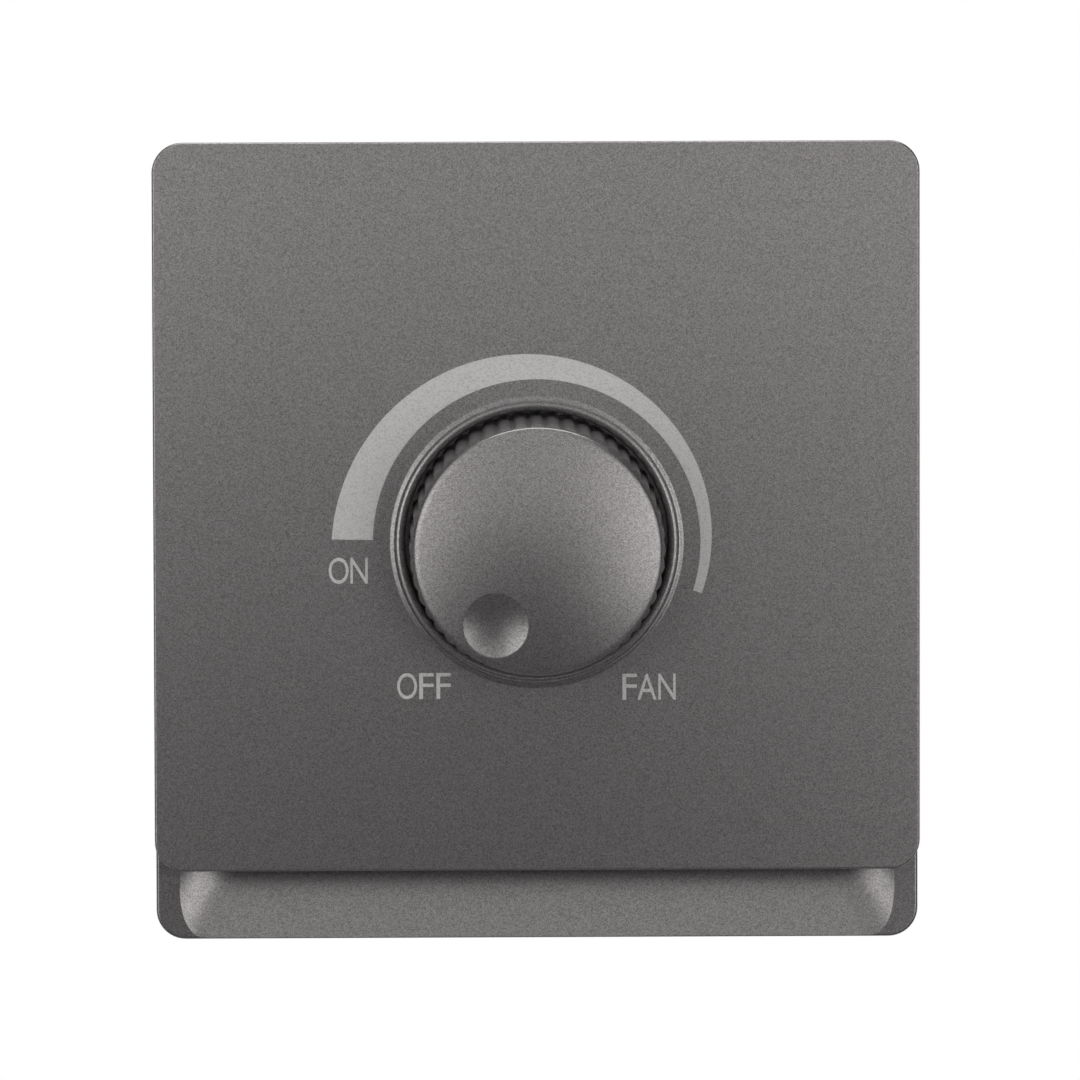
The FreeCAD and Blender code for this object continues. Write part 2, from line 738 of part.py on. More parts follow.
# Potentiometer: threaded bush on its plate, shaft with rotor, wiper, track wafer, can and switch.
bush = new_body("pot_bush_plate")
mount_plate = Drawing(bush, "mount_plate", lift=can_front)
plate_reach = s.bush_plate_size / 2
mount_plate.rounded(-plate_reach, plate_reach, -plate_reach, plate_reach, s.bush_plate_thickness)
pad(mount_plate, s.bush_plate_thickness)
barrel = Drawing(bush, "bush_barrel", lift=can_front)
barrel.circle(ZERO, ZERO, s.bush_radius)
pad(barrel, bush_front - can_front)
barrel_bore = Drawing(bush, "bush_bore", lift=can_front)
barrel_bore.circle(ZERO, ZERO, s.shaft_radius + s.shaft_play)
cut(barrel_bore, bush_front - can_front)

shaft = new_body("pot_shaft")
rotor_front = can_front - s.rotor_gap
rotor_back = rotor_front - s.rotor_thickness
stem = Drawing(shaft, "shaft_round", lift=rotor_back)
stem.circle(ZERO, ZERO, s.shaft_radius)
pad(stem, bush_front - rotor_back)
tip = Drawing(shaft, "shaft_flat_end", lift=bush_front)
flat_sided(tip, s.shaft_radius, s.shaft_flat)
pad(tip, shaft_front - bush_front)
rotor = Drawing(shaft, "rotor_disc", lift=rotor_back)
rotor.circle(ZERO, ZERO, s.rotor_radius)
pad(rotor, s.rotor_thickness)

wafer_back = can_back + s.can_wall
wafer_front = wafer_back + s.wafer_thickness
wiper = new_body("pot_wiper")
wiper_back = rotor_back - s.wiper_thickness
wiper_disc = Drawing(wiper, "wiper_disc", lift=wiper_back)
wiper_disc.circle(ZERO, ZERO, s.rotor_radius - s.wiper_width / 2)
pad(wiper_disc, s.wiper_thickness)
contact = Drawing(wiper, "wiper_contact", lift=wafer_front + s.wiper_gap)
contact.rectangle(-s.wiper_width / 2, s.wiper_width / 2, s.wiper_width - s.rotor_radius,
                  s.wiper_width * 2 - s.rotor_radius)
pad(contact, rotor_back - wafer_front - s.wiper_gap)

wafer = new_body("pot_track")
inner_can = s.can_radius - s.can_wall
disc = Drawing(wafer, "wafer_disc", lift=wafer_back)
disc.circle(ZERO, ZERO, inner_can - s.shaft_play)
pad(disc, s.wafer_thickness)
tail = Drawing(wafer, "wafer_tail_outline", lift=wafer_back)
tail.rectangle(-s.wafer_tail_half_width, s.wafer_tail_half_width, -s.wafer_tail, ZERO)
pad(tail, s.wafer_thickness)
rivets = Drawing(wafer, "pin_holes", lift=wafer_back)
for step in (-1, 0, 1):
    rivets.circle(s.pin_pitch * step, -s.pin_drop, s.pin_radius)
cut(rivets, s.wafer_thickness)

can = new_body("pot_can")
shell = Drawing(can, "can_shell", lift=can_back)
shell.circle(ZERO, ZERO, s.can_radius)
pad(shell, s.can_depth)
chamber = Drawing(can, "can_chamber", lift=wafer_back)
chamber.circle(ZERO, ZERO, inner_can)
cut(chamber, s.can_depth - s.can_wall)
notch = Drawing(can, "tail_notch", lift=can_back)
notch_half = s.wafer_tail_half_width + s.shaft_play
notch.rectangle(-notch_half, notch_half, -s.wafer_tail, ZERO)
cut(notch, s.can_wall + s.wafer_thickness + s.shaft_play)
cover = Drawing(can, "can_cover", lift=can_back)
cover.circle(ZERO, ZERO, inner_can)
pad(cover, s.can_wall)

switch = new_body("pot_switch")
switch_case = Drawing(switch, "switch_case", lift=board_front)
switch_case.circle(ZERO, ZERO, s.switch_radius)
pad(switch_case, s.switch_depth)

pins = []
for step in (-1, 0, 1):
    place = (s.pin_pitch * step, -s.pin_drop)
    pins.append(rod("track_pin", *place, lead_end, wafer_front + s.lead_tail, s.pin_radius))
    board_leads.append((*place, s.pin_radius))
for step in (-1, 1):
    place = (s.switch_pin_spread * step, ZERO)
    pins.append(rod("switch_pin", *place, lead_end, board_front, s.pin_radius))
    board_leads.append((*place, s.pin_radius))
keep(joined("pot_pins", pins))

washer_front = cup_inside + s.washer_thickness
nut_front = washer_front + s.nut_thickness
keep(without("bush_washer", rod("washer_disc", ZERO, ZERO, cup_inside, washer_front, s.washer_radius),
             rod("washer_hole", ZERO, ZERO, cup_inside, washer_front, bush_hole)))
keep(without("bush_nut", hexagon("nut_blank", ZERO, ZERO, washer_front, nut_front, s.nut_flats),
             rod("nut_thread", ZERO, ZERO, washer_front, nut_front, s.bush_radius + s.thread_clearance)))


# Triac: tab and leads of one stamped sheet, moulded body, screwed under a folded aluminium heat sink.
sink_top = board_front + s.sink_rise
sink_under = sink_top - s.sink_sheet
sink_base = room_half_height - s.sink_gap - s.sink_height
sink_middle = sink_base + s.sink_height / 2
tab_screw_x = s.triac_hole_inset - s.triac_tab_start
tab_hole_radius = s.triac_screw_radius + s.screw_clearance
sink = new_body("heat_sink")
fold = Drawing(sink, "sink_fold", plane="XY_Plane", lift=sink_base)
fold_inner = s.sink_half_width - s.sink_sheet
fold.outline((-s.sink_half_width, -board_front), (-s.sink_half_width, -(sink_top - s.sink_sheet)),
             (-fold_inner, -sink_top, s.sink_sheet, "left"), (fold_inner, -sink_top),
             (s.sink_half_width, -(sink_top - s.sink_sheet), s.sink_sheet, "left"),
             (s.sink_half_width, -board_front), (fold_inner, -board_front), (fold_inner, -sink_under),
             (-fold_inner, -sink_under), (-fold_inner, -board_front))
pad(fold, s.sink_height)
sink_hole = Drawing(sink, "sink_hole", lift=sink_under)
sink_hole.circle(tab_screw_x, sink_middle, tab_hole_radius)
cut(sink_hole, s.sink_sheet)

tab_back = sink_under - s.triac_tab_thickness
tab_right = s.triac_tab_length - s.triac_tab_start
triac_low = sink_middle - s.triac_width / 2
triac_high = sink_middle + s.triac_width / 2
epoxy_back = tab_back - s.triac_body_depth
keep(block("triac_body", tab_right - s.triac_body_length, tab_right, triac_low, triac_high, epoxy_back,
           tab_back))
tab_blank = block("tab_blank", -s.triac_tab_start, tab_right, triac_low, triac_high, tab_back, sink_under)
tab = without("triac_tab", tab_blank,
              rod("tab_hole", tab_screw_x, sink_middle, tab_back, sink_under, tab_hole_radius))
lead_front = tab_back - s.triac_body_depth / 2
lead_right = tab_right + s.triac_lead_reach
frame_pieces = [tab]
for step in (-1, 0, 1):
    middle = sink_middle + s.triac_lead_pitch * step
    low, high = middle - s.triac_lead_width / 2, middle + s.triac_lead_width / 2
    run = block("lead_run", tab_right, lead_right, low, high, lead_front - s.triac_lead_thickness,
                lead_front)
    drop = block("lead_drop", lead_right - s.triac_lead_thickness, lead_right, low, high, lead_end,
                 lead_front)
    frame_pieces.append(joined("triac_lead", [run, drop]))
    board_leads.append((lead_right - s.triac_lead_thickness / 2, middle, s.triac_lead_width / 2))
keep(joined("triac_leadframe", frame_pieces))
triac_nut_back = tab_back - s.triac_nut_thickness
screw_place = (tab_screw_x, sink_middle)
thread_radius = s.triac_screw_radius + s.thread_clearance
keep(joined("triac_screw", [
    rod("triac_screw_head", *screw_place, sink_top, sink_top + s.triac_screw_head_depth,
        s.triac_screw_head),
    rod("triac_screw_shank", *screw_place, triac_nut_back - s.triac_screw_spare, sink_top,
        s.triac_screw_radius)]))
keep(without("triac_nut",
             hexagon("triac_nut_blank", *screw_place, triac_nut_back, tab_back, s.triac_nut_flats),
             rod("triac_nut_thread", *screw_place, triac_nut_back, tab_back, thread_radius)))


# Suppression choke: ferrite ring with a wound sleeve, lying on the board.
choke_middle = board_front + s.winding_build + s.winding_gap + s.core_height / 2
core = new_body("choke_core")
ring = Drawing(core, "core_section", plane="XY_Plane", lift=-s.choke_z, across=-s.choke_x)
core_half = s.core_height / 2
ring.rectangle(s.core_bore, s.core_radius, -(choke_middle + core_half), -(choke_middle - core_half))
turn(ring)
winding = new_body("choke_winding")
sleeve = Drawing(winding, "winding_section", plane="XY_Plane", lift=-s.choke_z, across=-s.choke_x)
clear_half = core_half + s.winding_gap
build_half = clear_half + s.winding_build
clear_radius, clear_bore = s.core_radius + s.winding_gap, s.core_bore - s.winding_gap
sleeve.rectangle(clear_bore - s.winding_build, clear_radius + s.winding_build,
                 -(choke_middle + build_half), -(choke_middle - build_half))
sleeve.rectangle(clear_bore, clear_radius, -(choke_middle + clear_half), -(choke_middle - clear_half))
turn(sleeve, s.winding_arc)
tails = Drawing(winding, "winding_tails", lift=lead_end)
tail_radius = clear_radius + s.winding_build - s.lead_radius
for place in ((tail_radius - s.choke_x, -s.choke_z - s.lead_radius),
              (-s.choke_x, -s.choke_z - tail_radius)):
    tails.circle(*place, s.lead_radius)
    board_leads.append((*place, s.lead_radius))
pad(tails, board_front + s.winding_build - lead_end)


# Small circuit pieces: film capacitor, two timing capacitors, three resistors and a diac.
def radial_piece(label, left, right, bottom, top, height, lead_places):
    """Boxed piece that stands on the board with straight leads through it."""
    body = new_body(label)
    box = Drawing(body, label + "_box", lift=board_front)
    box.rounded(left, right, bottom, top, s.lead_radius)
    pad(box, height)
    legs = Drawing(body, label + "_leads", lift=lead_end)
    for x, z in lead_places:
        legs.circle(x, z, s.lead_radius)
        board_leads.append((x, z, s.lead_radius))
    pad(legs, board_front - lead_end)


film_right = s.film_left + s.film_width
film_top = s.film_base + s.film_length
film_middle = s.film_left + s.film_width / 2
radial_piece("film_capacitor", s.film_left, film_right, s.film_base, film_top, s.film_height,
             [(film_middle, s.film_base + s.film_lead_inset), (film_middle, film_top - s.film_lead_inset)])
for count, label in enumerate(("snubber_capacitor", "timing_capacitor")):
    level = s.timing_edge + s.timing_pitch * count - board_half_height
    radial_piece(label, -s.timing_width / 2, s.timing_width / 2, level - s.timing_thickness / 2,
                 level + s.timing_thickness / 2, s.timing_height,
                 [(-s.timing_lead_spread, level), (s.timing_lead_spread, level)])


def axial_piece(label, x, z, radius, length, half_span):
    """Round piece lying across the board on a wire that is bent down at both ends."""
    body = new_body(label)
    axis = board_front + radius + s.axial_lift
    left, right = x - half_span, x + half_span
    wire = Drawing(body, label + "_wire", plane="XY_Plane", lift=z)
    wire.outline((left, -lead_end), (left, s.lead_bend - axis),
                 (left + s.lead_bend, -axis, s.lead_bend, "left"),
                 (right - s.lead_bend, -axis), (right, s.lead_bend - axis, s.lead_bend, "left"),
                 (right, -lead_end), closed=False)
    end = Drawing(body, label + "_wire_end", lift=lead_end)
    end.circle(left, z, s.lead_radius)
    lead = body.newObject("PartDesign::AdditivePipe", label + "_lead")
    lead.Profile = end.sketch
    lead.Spine = wire.sketch
    casing = Drawing(body, label + "_casing", plane="YZ_Plane", lift=x - length / 2)
    casing.circle(-axis, z, radius)
    pad(casing, length)
    for foot in (left, right):
        board_leads.append((foot, z, s.lead_radius))


for count, label in enumerate(("snubber_resistor", "charge_resistor", "gate_resistor")):
    level = s.resistor_edge + s.resistor_pitch * count - board_half_height
    axial_piece(label, s.resistor_x, level, s.resistor_radius, s.resistor_length, s.resistor_half_span)
axial_piece("diac", -s.diac_x, s.diac_z, s.diac_radius, s.diac_length, s.diac_half_span)


# Terminal block: moulded block with a brass clamp and a clamp screw for each of the two wires.
terminal_back = board_back - s.terminal_depth
terminal_bottom = s.terminal_gap - room_half_height
terminal_top = terminal_bottom + s.terminal_height
cell_bottom = terminal_bottom + s.terminal_wall
cell_top = cell_bottom + s.clamp_height + 2 * s.clamp_play
clamp_bottom = cell_bottom + s.clamp_play
clamp_top = clamp_bottom + s.clamp_height
clamp_middle = (clamp_bottom + clamp_top) / 2
clamp_front = board_back - s.terminal_lift
clamp_back = clamp_front - s.clamp_depth
wire_level = clamp_back + s.clamp_bore_inset
pole_offset = s.terminal_pitch / 2
cell_half = s.clamp_width / 2 + s.clamp_play
block_body = new_body("terminal_block")
moulding = Drawing(block_body, "block_outline", lift=terminal_back)
moulding.rectangle(-s.terminal_half_width, s.terminal_half_width, terminal_bottom, terminal_top)
pad(moulding, s.terminal_depth)
underside = Drawing(block_body, "lead_room", lift=clamp_front)
underside_half = s.terminal_half_width - s.terminal_wall
underside.rectangle(-underside_half, underside_half, cell_bottom, terminal_top)
cut(underside, s.terminal_lift)
cells = Drawing(block_body, "clamp_cells", lift=clamp_back - s.clamp_play)
screw_wells = Drawing(block_body, "screw_wells", lift=terminal_back)
entries = Drawing(block_body, "wire_entries", plane="XY_Plane", lift=terminal_bottom)
for side in (-1, 1):
    x = pole_offset * side
    cells.rectangle(x - cell_half, x + cell_half, cell_bottom, cell_top)
    screw_wells.circle(x, clamp_middle, s.clamp_screw_head + s.screw_clearance)
    entries.circle(x, -wire_level, s.clamp_bore + s.wire_entry_margin)
cut(cells, s.clamp_depth + s.clamp_play)
cut(screw_wells, clamp_back - terminal_back)
cut(entries, s.terminal_wall)

clamp_screws = []
for label, side in (("line_clamp", -1), ("load_clamp", 1)):
    x = pole_offset * side
    clamp = new_body(label)
    cage = Drawing(clamp, label + "_cage", lift=clamp_back)
    cage.rectangle(x - s.clamp_width / 2, x + s.clamp_width / 2, clamp_bottom, clamp_top)
    pad(cage, s.clamp_depth)
    wire_bore = Drawing(clamp, label + "_bore", plane="XY_Plane", lift=clamp_bottom)
    wire_bore.circle(x, -wire_level, s.clamp_bore)
    cut(wire_bore, s.clamp_height)
    thread = Drawing(clamp, label + "_thread", lift=clamp_back)
    thread.circle(x, clamp_middle, s.clamp_screw_radius + s.thread_clearance)
    cut(thread, s.clamp_bore_inset)
    foot = Drawing(clamp, label + "_pin", lift=clamp_front - s.lead_tail)
    foot.rectangle(x - s.clamp_pin / 2, x + s.clamp_pin / 2, clamp_middle - s.clamp_pin / 2,
                   clamp_middle + s.clamp_pin / 2)
    pad(foot, board_front - clamp_front + s.lead_tail * 2)
    board_leads.append((x, clamp_middle, s.clamp_pin * as_size(2).root() / 2))
    screw_back = clamp_back - s.clamp_screw_head_depth
    clamp_screws.append(joined(label + "_screw", [
        rod("clamp_screw_head", x, clamp_middle, screw_back, clamp_back, s.clamp_screw_head),
        rod("clamp_screw_shank", x, clamp_middle, clamp_back, wire_level - s.clamp_bore,
            s.clamp_screw_radius)]))
keep(joined("terminal_screws", clamp_screws))


# Circuit board, with a hole for each lead, on the posts of the rear housing.
board = new_body("circuit_board")
sheet_outline = Drawing(board, "board_outline", lift=board_back)
sheet_outline.rounded(-board_half, board_half, -board_half_height, board_half_height, s.board_corner)
pad(sheet_outline, s.board_thickness)
holes = Drawing(board, "board_holes", lift=board_back)
for x, z in corners(board_screw_x, board_screw_z):
    holes.circle(x, z, s.board_screw_shank + s.screw_clearance)
for x, z, radius in board_leads:
    holes.circle(x, z, radius + s.lead_gap)
cut(holes, s.board_thickness)


# Rear housing: moulded box with vents, board posts, terminal openings and four screw ears.
housing = new_body("rear_housing")
box = Drawing(housing, "housing_outline", lift=housing_back)
box.rounded(-housing_half, housing_half, -housing_half_height, housing_half_height, s.housing_corner)
pad(box, web_back - housing_back)
room = Drawing(housing, "housing_room", lift=housing_inside)
room.rounded(-room_half, room_half, -room_half_height, room_half_height, s.housing_corner - s.housing_wall)
cut(room, web_back - housing_inside)
ears = Drawing(housing, "housing_ears", lift=web_back - s.ear_thickness)
ear_holes = Drawing(housing, "ear_holes", lift=web_back - s.ear_thickness)
for side in (-1, 1):
    for level in (-1, 1):
        x = s.ear_spread * side
        root = (housing_half_height - s.housing_wall / 2) * level
        ends = sorted((root, (ear_height + s.ear_half_width) * level), key=lambda end: end.value)
        ears.rounded(x - s.ear_half_width, x + s.ear_half_width, *ends, s.housing_wall / 2)
        ear_holes.circle(x, ear_height * level, s.housing_screw_shank + s.screw_clearance)
pad(ears, s.ear_thickness)
cut(ear_holes, s.ear_thickness)
posts = Drawing(housing, "board_posts", lift=housing_back)
post_pilots = Drawing(housing, "post_pilots", lift=board_back - s.board_screw_length)
for x, z in corners(board_screw_x, board_screw_z):
    posts.circle(x, z, s.post_radius)
    post_pilots.circle(x, z, s.board_screw_shank + s.thread_clearance)
pad(posts, board_back - housing_back)
cut(post_pilots, s.board_screw_length)
vents = Drawing(housing, "rear_vents", lift=housing_back)
vent_radius = s.vent_width / 2
for count in range(int(s.vent_count.value)):
    x = s.vent_pitch * (count - (s.vent_count.value - 1) / 2)
    low, high = s.vent_height - s.vent_length / 2, s.vent_height + s.vent_length / 2
    vents.outline((x - vent_radius, low + vent_radius),
                  (x, low, vent_radius, "left"), (x + vent_radius, low + vent_radius, vent_radius, "left"),
                  (x + vent_radius, high - vent_radius), (x, high, vent_radius, "left"),
                  (x - vent_radius, high - vent_radius, vent_radius, "left"))
cut(vents, s.housing_wall)
wells = Drawing(housing, "screw_openings", lift=housing_back)
wire_windows = Drawing(housing, "wire_windows", plane="XY_Plane", lift=-housing_half_height)
for side in (-1, 1):
    wells.circle(pole_offset * side, clamp_middle, s.clamp_screw_head + s.wire_window_margin)
    wire_windows.circle(pole_offset * side, -wire_level, s.clamp_bore + s.wire_window_margin)
cut(wells, s.housing_wall)
cut(wire_windows, s.housing_wall)
side_vents = Drawing(housing, "side_vents", plane="YZ_Plane", lift=-housing_half)
vent_middle = (board_front + web_back) / 2
for count in range(int(s.side_vent_count.value)):
    side_vents.slot(-vent_middle, s.vent_pitch * (count - (s.side_vent_count.value - 1) / 2),
                    s.side_vent_length, vent_radius)
cut(side_vents, 2 * housing_half)


# Screws: four that hold the housing to the frame and four that hold the board on its posts.
ear_back = web_back - s.ear_thickness
housing_screws = []
board_screws = []
for x, z in corners(s.ear_spread, ear_height):
    head = rod("housing_screw_head_disc", x, z, ear_back - s.housing_screw_head_depth, ear_back,
               s.housing_screw_head)
    shank = rod("housing_screw_shank_rod", x, z, ear_back, screw_tip, s.housing_screw_shank)
    housing_screws.append(joined("housing_screw", [head, shank]))
keep(joined("housing_screws", housing_screws))
for x, z in corners(board_screw_x, board_screw_z):
    head = rod("board_screw_head_disc", x, z, board_front, board_front + s.board_screw_head_depth,
               s.board_screw_head)
    shank = rod("board_screw_shank_rod", x, z, board_front - s.board_screw_length, board_front,
                s.board_screw_shank)
    board_screws.append(joined("board_screw", [head, shank]))
keep(joined("board_screws", board_screws))

doc.recompute()

# Every object has to be up to date, every cut has to remove something and every sub-part has to be sound.
CUTS = ("PartDesign::Pocket", "PartDesign::SubtractiveLoft", "PartDesign::SubtractiveSphere")
for thing in doc.Objects:
    if "Invalid" in thing.State or "Error" in thing.State:
        raise RuntimeError(f"{thing.Label} did not compute: {thing.State}")
    if thing.TypeId in CUTS and thing.Shape.Volume >= thing.BaseFeature.Shape.Volume:
        raise RuntimeError(f"{thing.Label} removes nothing")
for node in nodes:
    if node.Shape.isNull() or not node.Shape.isValid():
        raise RuntimeError(f"{node.Label} has no sound shape")

os.makedirs("parts", exist_ok=True)
for node in nodes:
    node.Shape.exportStep(f"parts/{node.Label}.step")
    print(node.Label, len(node.Shape.Solids), round(node.Shape.Volume, 2))
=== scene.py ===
import bmesh
import bpy
import math
from mathutils import Matrix, Vector


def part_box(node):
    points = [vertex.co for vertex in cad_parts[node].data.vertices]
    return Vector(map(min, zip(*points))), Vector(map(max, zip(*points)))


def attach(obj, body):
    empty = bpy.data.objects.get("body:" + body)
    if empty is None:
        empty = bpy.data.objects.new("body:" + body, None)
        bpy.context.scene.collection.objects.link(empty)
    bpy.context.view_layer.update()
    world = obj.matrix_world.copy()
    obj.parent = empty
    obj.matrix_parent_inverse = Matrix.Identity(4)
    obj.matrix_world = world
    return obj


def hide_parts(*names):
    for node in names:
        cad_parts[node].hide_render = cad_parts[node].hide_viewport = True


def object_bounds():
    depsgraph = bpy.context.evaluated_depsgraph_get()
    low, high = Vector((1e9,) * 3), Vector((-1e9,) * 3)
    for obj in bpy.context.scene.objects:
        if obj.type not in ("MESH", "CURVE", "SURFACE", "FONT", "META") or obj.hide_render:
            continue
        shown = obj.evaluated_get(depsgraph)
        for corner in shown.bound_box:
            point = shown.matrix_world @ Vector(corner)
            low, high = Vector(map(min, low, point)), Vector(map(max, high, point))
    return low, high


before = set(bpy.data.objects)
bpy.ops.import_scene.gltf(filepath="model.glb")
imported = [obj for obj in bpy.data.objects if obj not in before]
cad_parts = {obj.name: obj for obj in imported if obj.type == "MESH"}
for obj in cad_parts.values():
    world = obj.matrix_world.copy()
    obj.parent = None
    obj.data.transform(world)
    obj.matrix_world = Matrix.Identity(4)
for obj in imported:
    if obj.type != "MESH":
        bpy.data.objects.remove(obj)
cad_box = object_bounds()


# Rear housing: a black heat resistant moulding that holds the circuit, with vents for its warmth and four
# screw ears. The spark eroded tool leaves a fine matt grain on it.
def grow(tree, kind, inputs=None, **settings):
    """Adds a node. An input takes a number, a colour, or another node's output."""
    node = tree.nodes.new(kind)
    for name, value in settings.items():
        setattr(node, name, value)
    for name, value in (inputs or {}).items():
        if isinstance(value, bpy.types.NodeSocket):
            tree.links.new(value, node.inputs[name])
        else:
            node.inputs[name].default_value = value
    return node


def ramp(tree, factor, *stops, smooth=True):
    """Colour ramp through (position, colour) stops."""
    node = grow(tree, "ShaderNodeValToRGB", {"Fac": factor})
    elements = node.color_ramp.elements
    node.color_ramp.interpolation = "LINEAR" if smooth else "CONSTANT"
    while len(elements) < len(stops):
        elements.new(1.0)
    for element, (position, colour) in zip(elements, stops):
        element.position = position
        element.color = (*colour, 1.0)
    return node.outputs["Color"]


def noise(tree, place, grain):
    """Cloudy pattern from 0 to 1, with clouds of about the grain's size."""
    texture = grow(tree, "ShaderNodeTexNoise", {"Vector": place, "Scale": 1 / grain, "Detail": 3.0})
    return texture.outputs["Fac"]


def new_finish(name, **constants):
    """Material with its constant shader values set, and the object coordinates that its patterns use."""
    finish = bpy.data.materials.new(name)
    finish.use_nodes = True
    tree = finish.node_tree
    shader = tree.nodes["Principled BSDF"]
    for socket, value in constants.items():
        shader.inputs[socket].default_value = value
    place = grow(tree, "ShaderNodeTexCoord").outputs["Object"]
    return finish, tree, shader, place


def tint(tree, shader, cloud, dark, light):
    """Blends the base colour from dark to light over the middle of a cloudy pattern's range."""
    tree.links.new(ramp(tree, cloud, (0.3, dark), (0.7, light)), shader.inputs["Base Color"])


def polish(tree, shader, factor, start, end):
    """Lets the roughness go from start to end where the factor goes from 0 to 1."""
    spread = grow(tree, "ShaderNodeMapRange", {"Value": factor, "To Min": start, "To Max": end})
    tree.links.new(spread.outputs["Result"], shader.inputs["Roughness"])


def relief(tree, shader, height, depth):
    bump = grow(tree, "ShaderNodeBump", {"Height": height, "Distance": depth})
    tree.links.new(bump.outputs["Normal"], shader.inputs["Normal"])


def coat(finish, *nodes):
    for node in nodes:
        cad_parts[node].material_slots[0].material = finish


def moulding(name, dark, light, grain, depth, roughness):
    """Moulded plastic: a fine grain from the tool, and a slow change of tone from the melt's flow."""
    flow = 0.012
    finish, tree, shader, place = new_finish(name)
    tint(tree, shader, noise(tree, place, flow), dark, light)
    pits = noise(tree, place, grain)
    polish(tree, shader, pits, *roughness)
    relief(tree, shader, pits, depth)
    return finish


coat(moulding("grained_black", dark=(0.012, 0.012, 0.013), light=(0.02, 0.02, 0.021), grain=0.0002,
              depth=0.00002, roughness=(0.42, 0.62)), "rear_housing")


# Terminal block: an ivory polyamide moulding soldered to the back of the board, with a milled brass clamp
# for each of the two wires.
coat(moulding("ivory_polyamide", dark=(0.66, 0.62, 0.5), light=(0.72, 0.68, 0.57), grain=0.0003,
              depth=0.000006, roughness=(0.35, 0.5)), "terminal_block")


def bare_metal(name, dark, light, patch, roughness):
    """Plain metal whose tone and polish change a little from patch to patch: the lighter, the smoother."""
    smooth, rough = roughness
    finish, tree, shader, place = new_finish(name, Metallic=1.0)
    cloud = noise(tree, place, patch)
    tint(tree, shader, cloud, dark, light)
    polish(tree, shader, cloud, rough, smooth)
    return finish


brass = bare_metal("brass", dark=(0.62, 0.42, 0.16), light=(0.78, 0.56, 0.24), patch=0.003,
                   roughness=(0.22, 0.38))
coat(brass, "line_clamp", "load_clamp")


# Circuit board: glass fibre board under green solder resist, with the etched copper showing through the
# resist as lighter fields. Four screws hold it on the housing's posts.
def solder_resist():
    field = 0.0045
    gap = field / 24
    copper_rise = 0.00003
    sheen_patch = 0.0015
    gap_green, copper_green = (0.006, 0.05, 0.02), (0.012, 0.1, 0.042)
    finish, tree, shader, place = new_finish("green_solder_resist")
    upright = grow(tree, "ShaderNodeMapping", {"Vector": place, "Rotation": (math.pi / 2, 0, 0)})
    fields = grow(tree, "ShaderNodeTexBrick", {"Vector": upright.outputs["Vector"], "Scale": 1.0,
                                               "Mortar Size": gap, "Brick Width": 2 * field,
                                               "Row Height": field})
    etch = fields.outputs["Fac"]
    tree.links.new(ramp(tree, etch, (0.0, copper_green), (1.0, gap_green)), shader.inputs["Base Color"])
    polish(tree, shader, noise(tree, place, sheen_patch), 0.25, 0.35)
    relief(tree, shader, etch, -copper_rise)
    return finish


coat(solder_resist(), "circuit_board")


# Potentiometer: a zinc plated bush plate and can, a brown phenolic shaft and track wafer, a brass wiper and
# a black mains switch behind. Its pins are soldered to the board.
def plated_zinc(name):
    return bare_metal(name, dark=(0.5, 0.5, 0.49), light=(0.68, 0.69, 0.68), patch=0.003,
                      roughness=(0.25, 0.42))


zinc = plated_zinc("zinc_plate")
coat(zinc, "pot_can", "pot_pins")
coat(brass, "pot_wiper")
coat(moulding("brown_phenolic", dark=(0.1, 0.042, 0.015), light=(0.16, 0.07, 0.026), grain=0.0004,
              depth=0.000005, roughness=(0.35, 0.5)), "pot_track", "pot_shaft")
epoxy = moulding("black_epoxy", dark=(0.014, 0.014, 0.015), light=(0.02, 0.02, 0.021), grain=0.00012,
                 depth=0.000006, roughness=(0.4, 0.55))
coat(epoxy, "pot_switch")


def reckon(tree, operation, first, second):
    return grow(tree, "ShaderNodeMath", {0: first, 1: second}, operation=operation).outputs[0]


def threaded_zinc():
    """Plated zinc with the fine thread of the bush."""
    thread_pitch, thread_depth = 0.00075, 0.0002
    finish = plated_zinc("threaded_zinc")
    tree = finish.node_tree
    place = tree.nodes["Texture Coordinate"].outputs["Object"]
    along = grow(tree, "ShaderNodeSeparateXYZ", {0: place}).outputs["Y"]
    crest = reckon(tree, "PINGPONG", along, thread_pitch)
    relief(tree, tree.nodes["Principled BSDF"], crest, thread_depth / thread_pitch)
    return finish


coat(threaded_zinc(), "pot_bush_plate")


# Triac and heat sink: a moulded triac with tinned legs, screwed under a folded sheet of brushed aluminium
# that stands on the board.
coat(epoxy, "triac_body")
coat(zinc, "triac_leadframe", "triac_nut")


def brushed_aluminium():
    stroke_length, stroke_width, stroke_depth = 0.006, 0.00006, 0.000004
    stretch = (stroke_width / stroke_length, 1, 1)
    finish, tree, shader, place = new_finish("brushed_aluminium", Metallic=1.0)
    along = grow(tree, "ShaderNodeMapping", {"Vector": place, "Scale": stretch}).outputs["Vector"]
    strokes = noise(tree, along, stroke_width)
    tint(tree, shader, strokes, dark=(0.62, 0.63, 0.64), light=(0.8, 0.81, 0.82))
    polish(tree, shader, strokes, 0.3, 0.48)
    relief(tree, shader, strokes, stroke_depth)
    return finish


coat(brushed_aluminium(), "heat_sink")


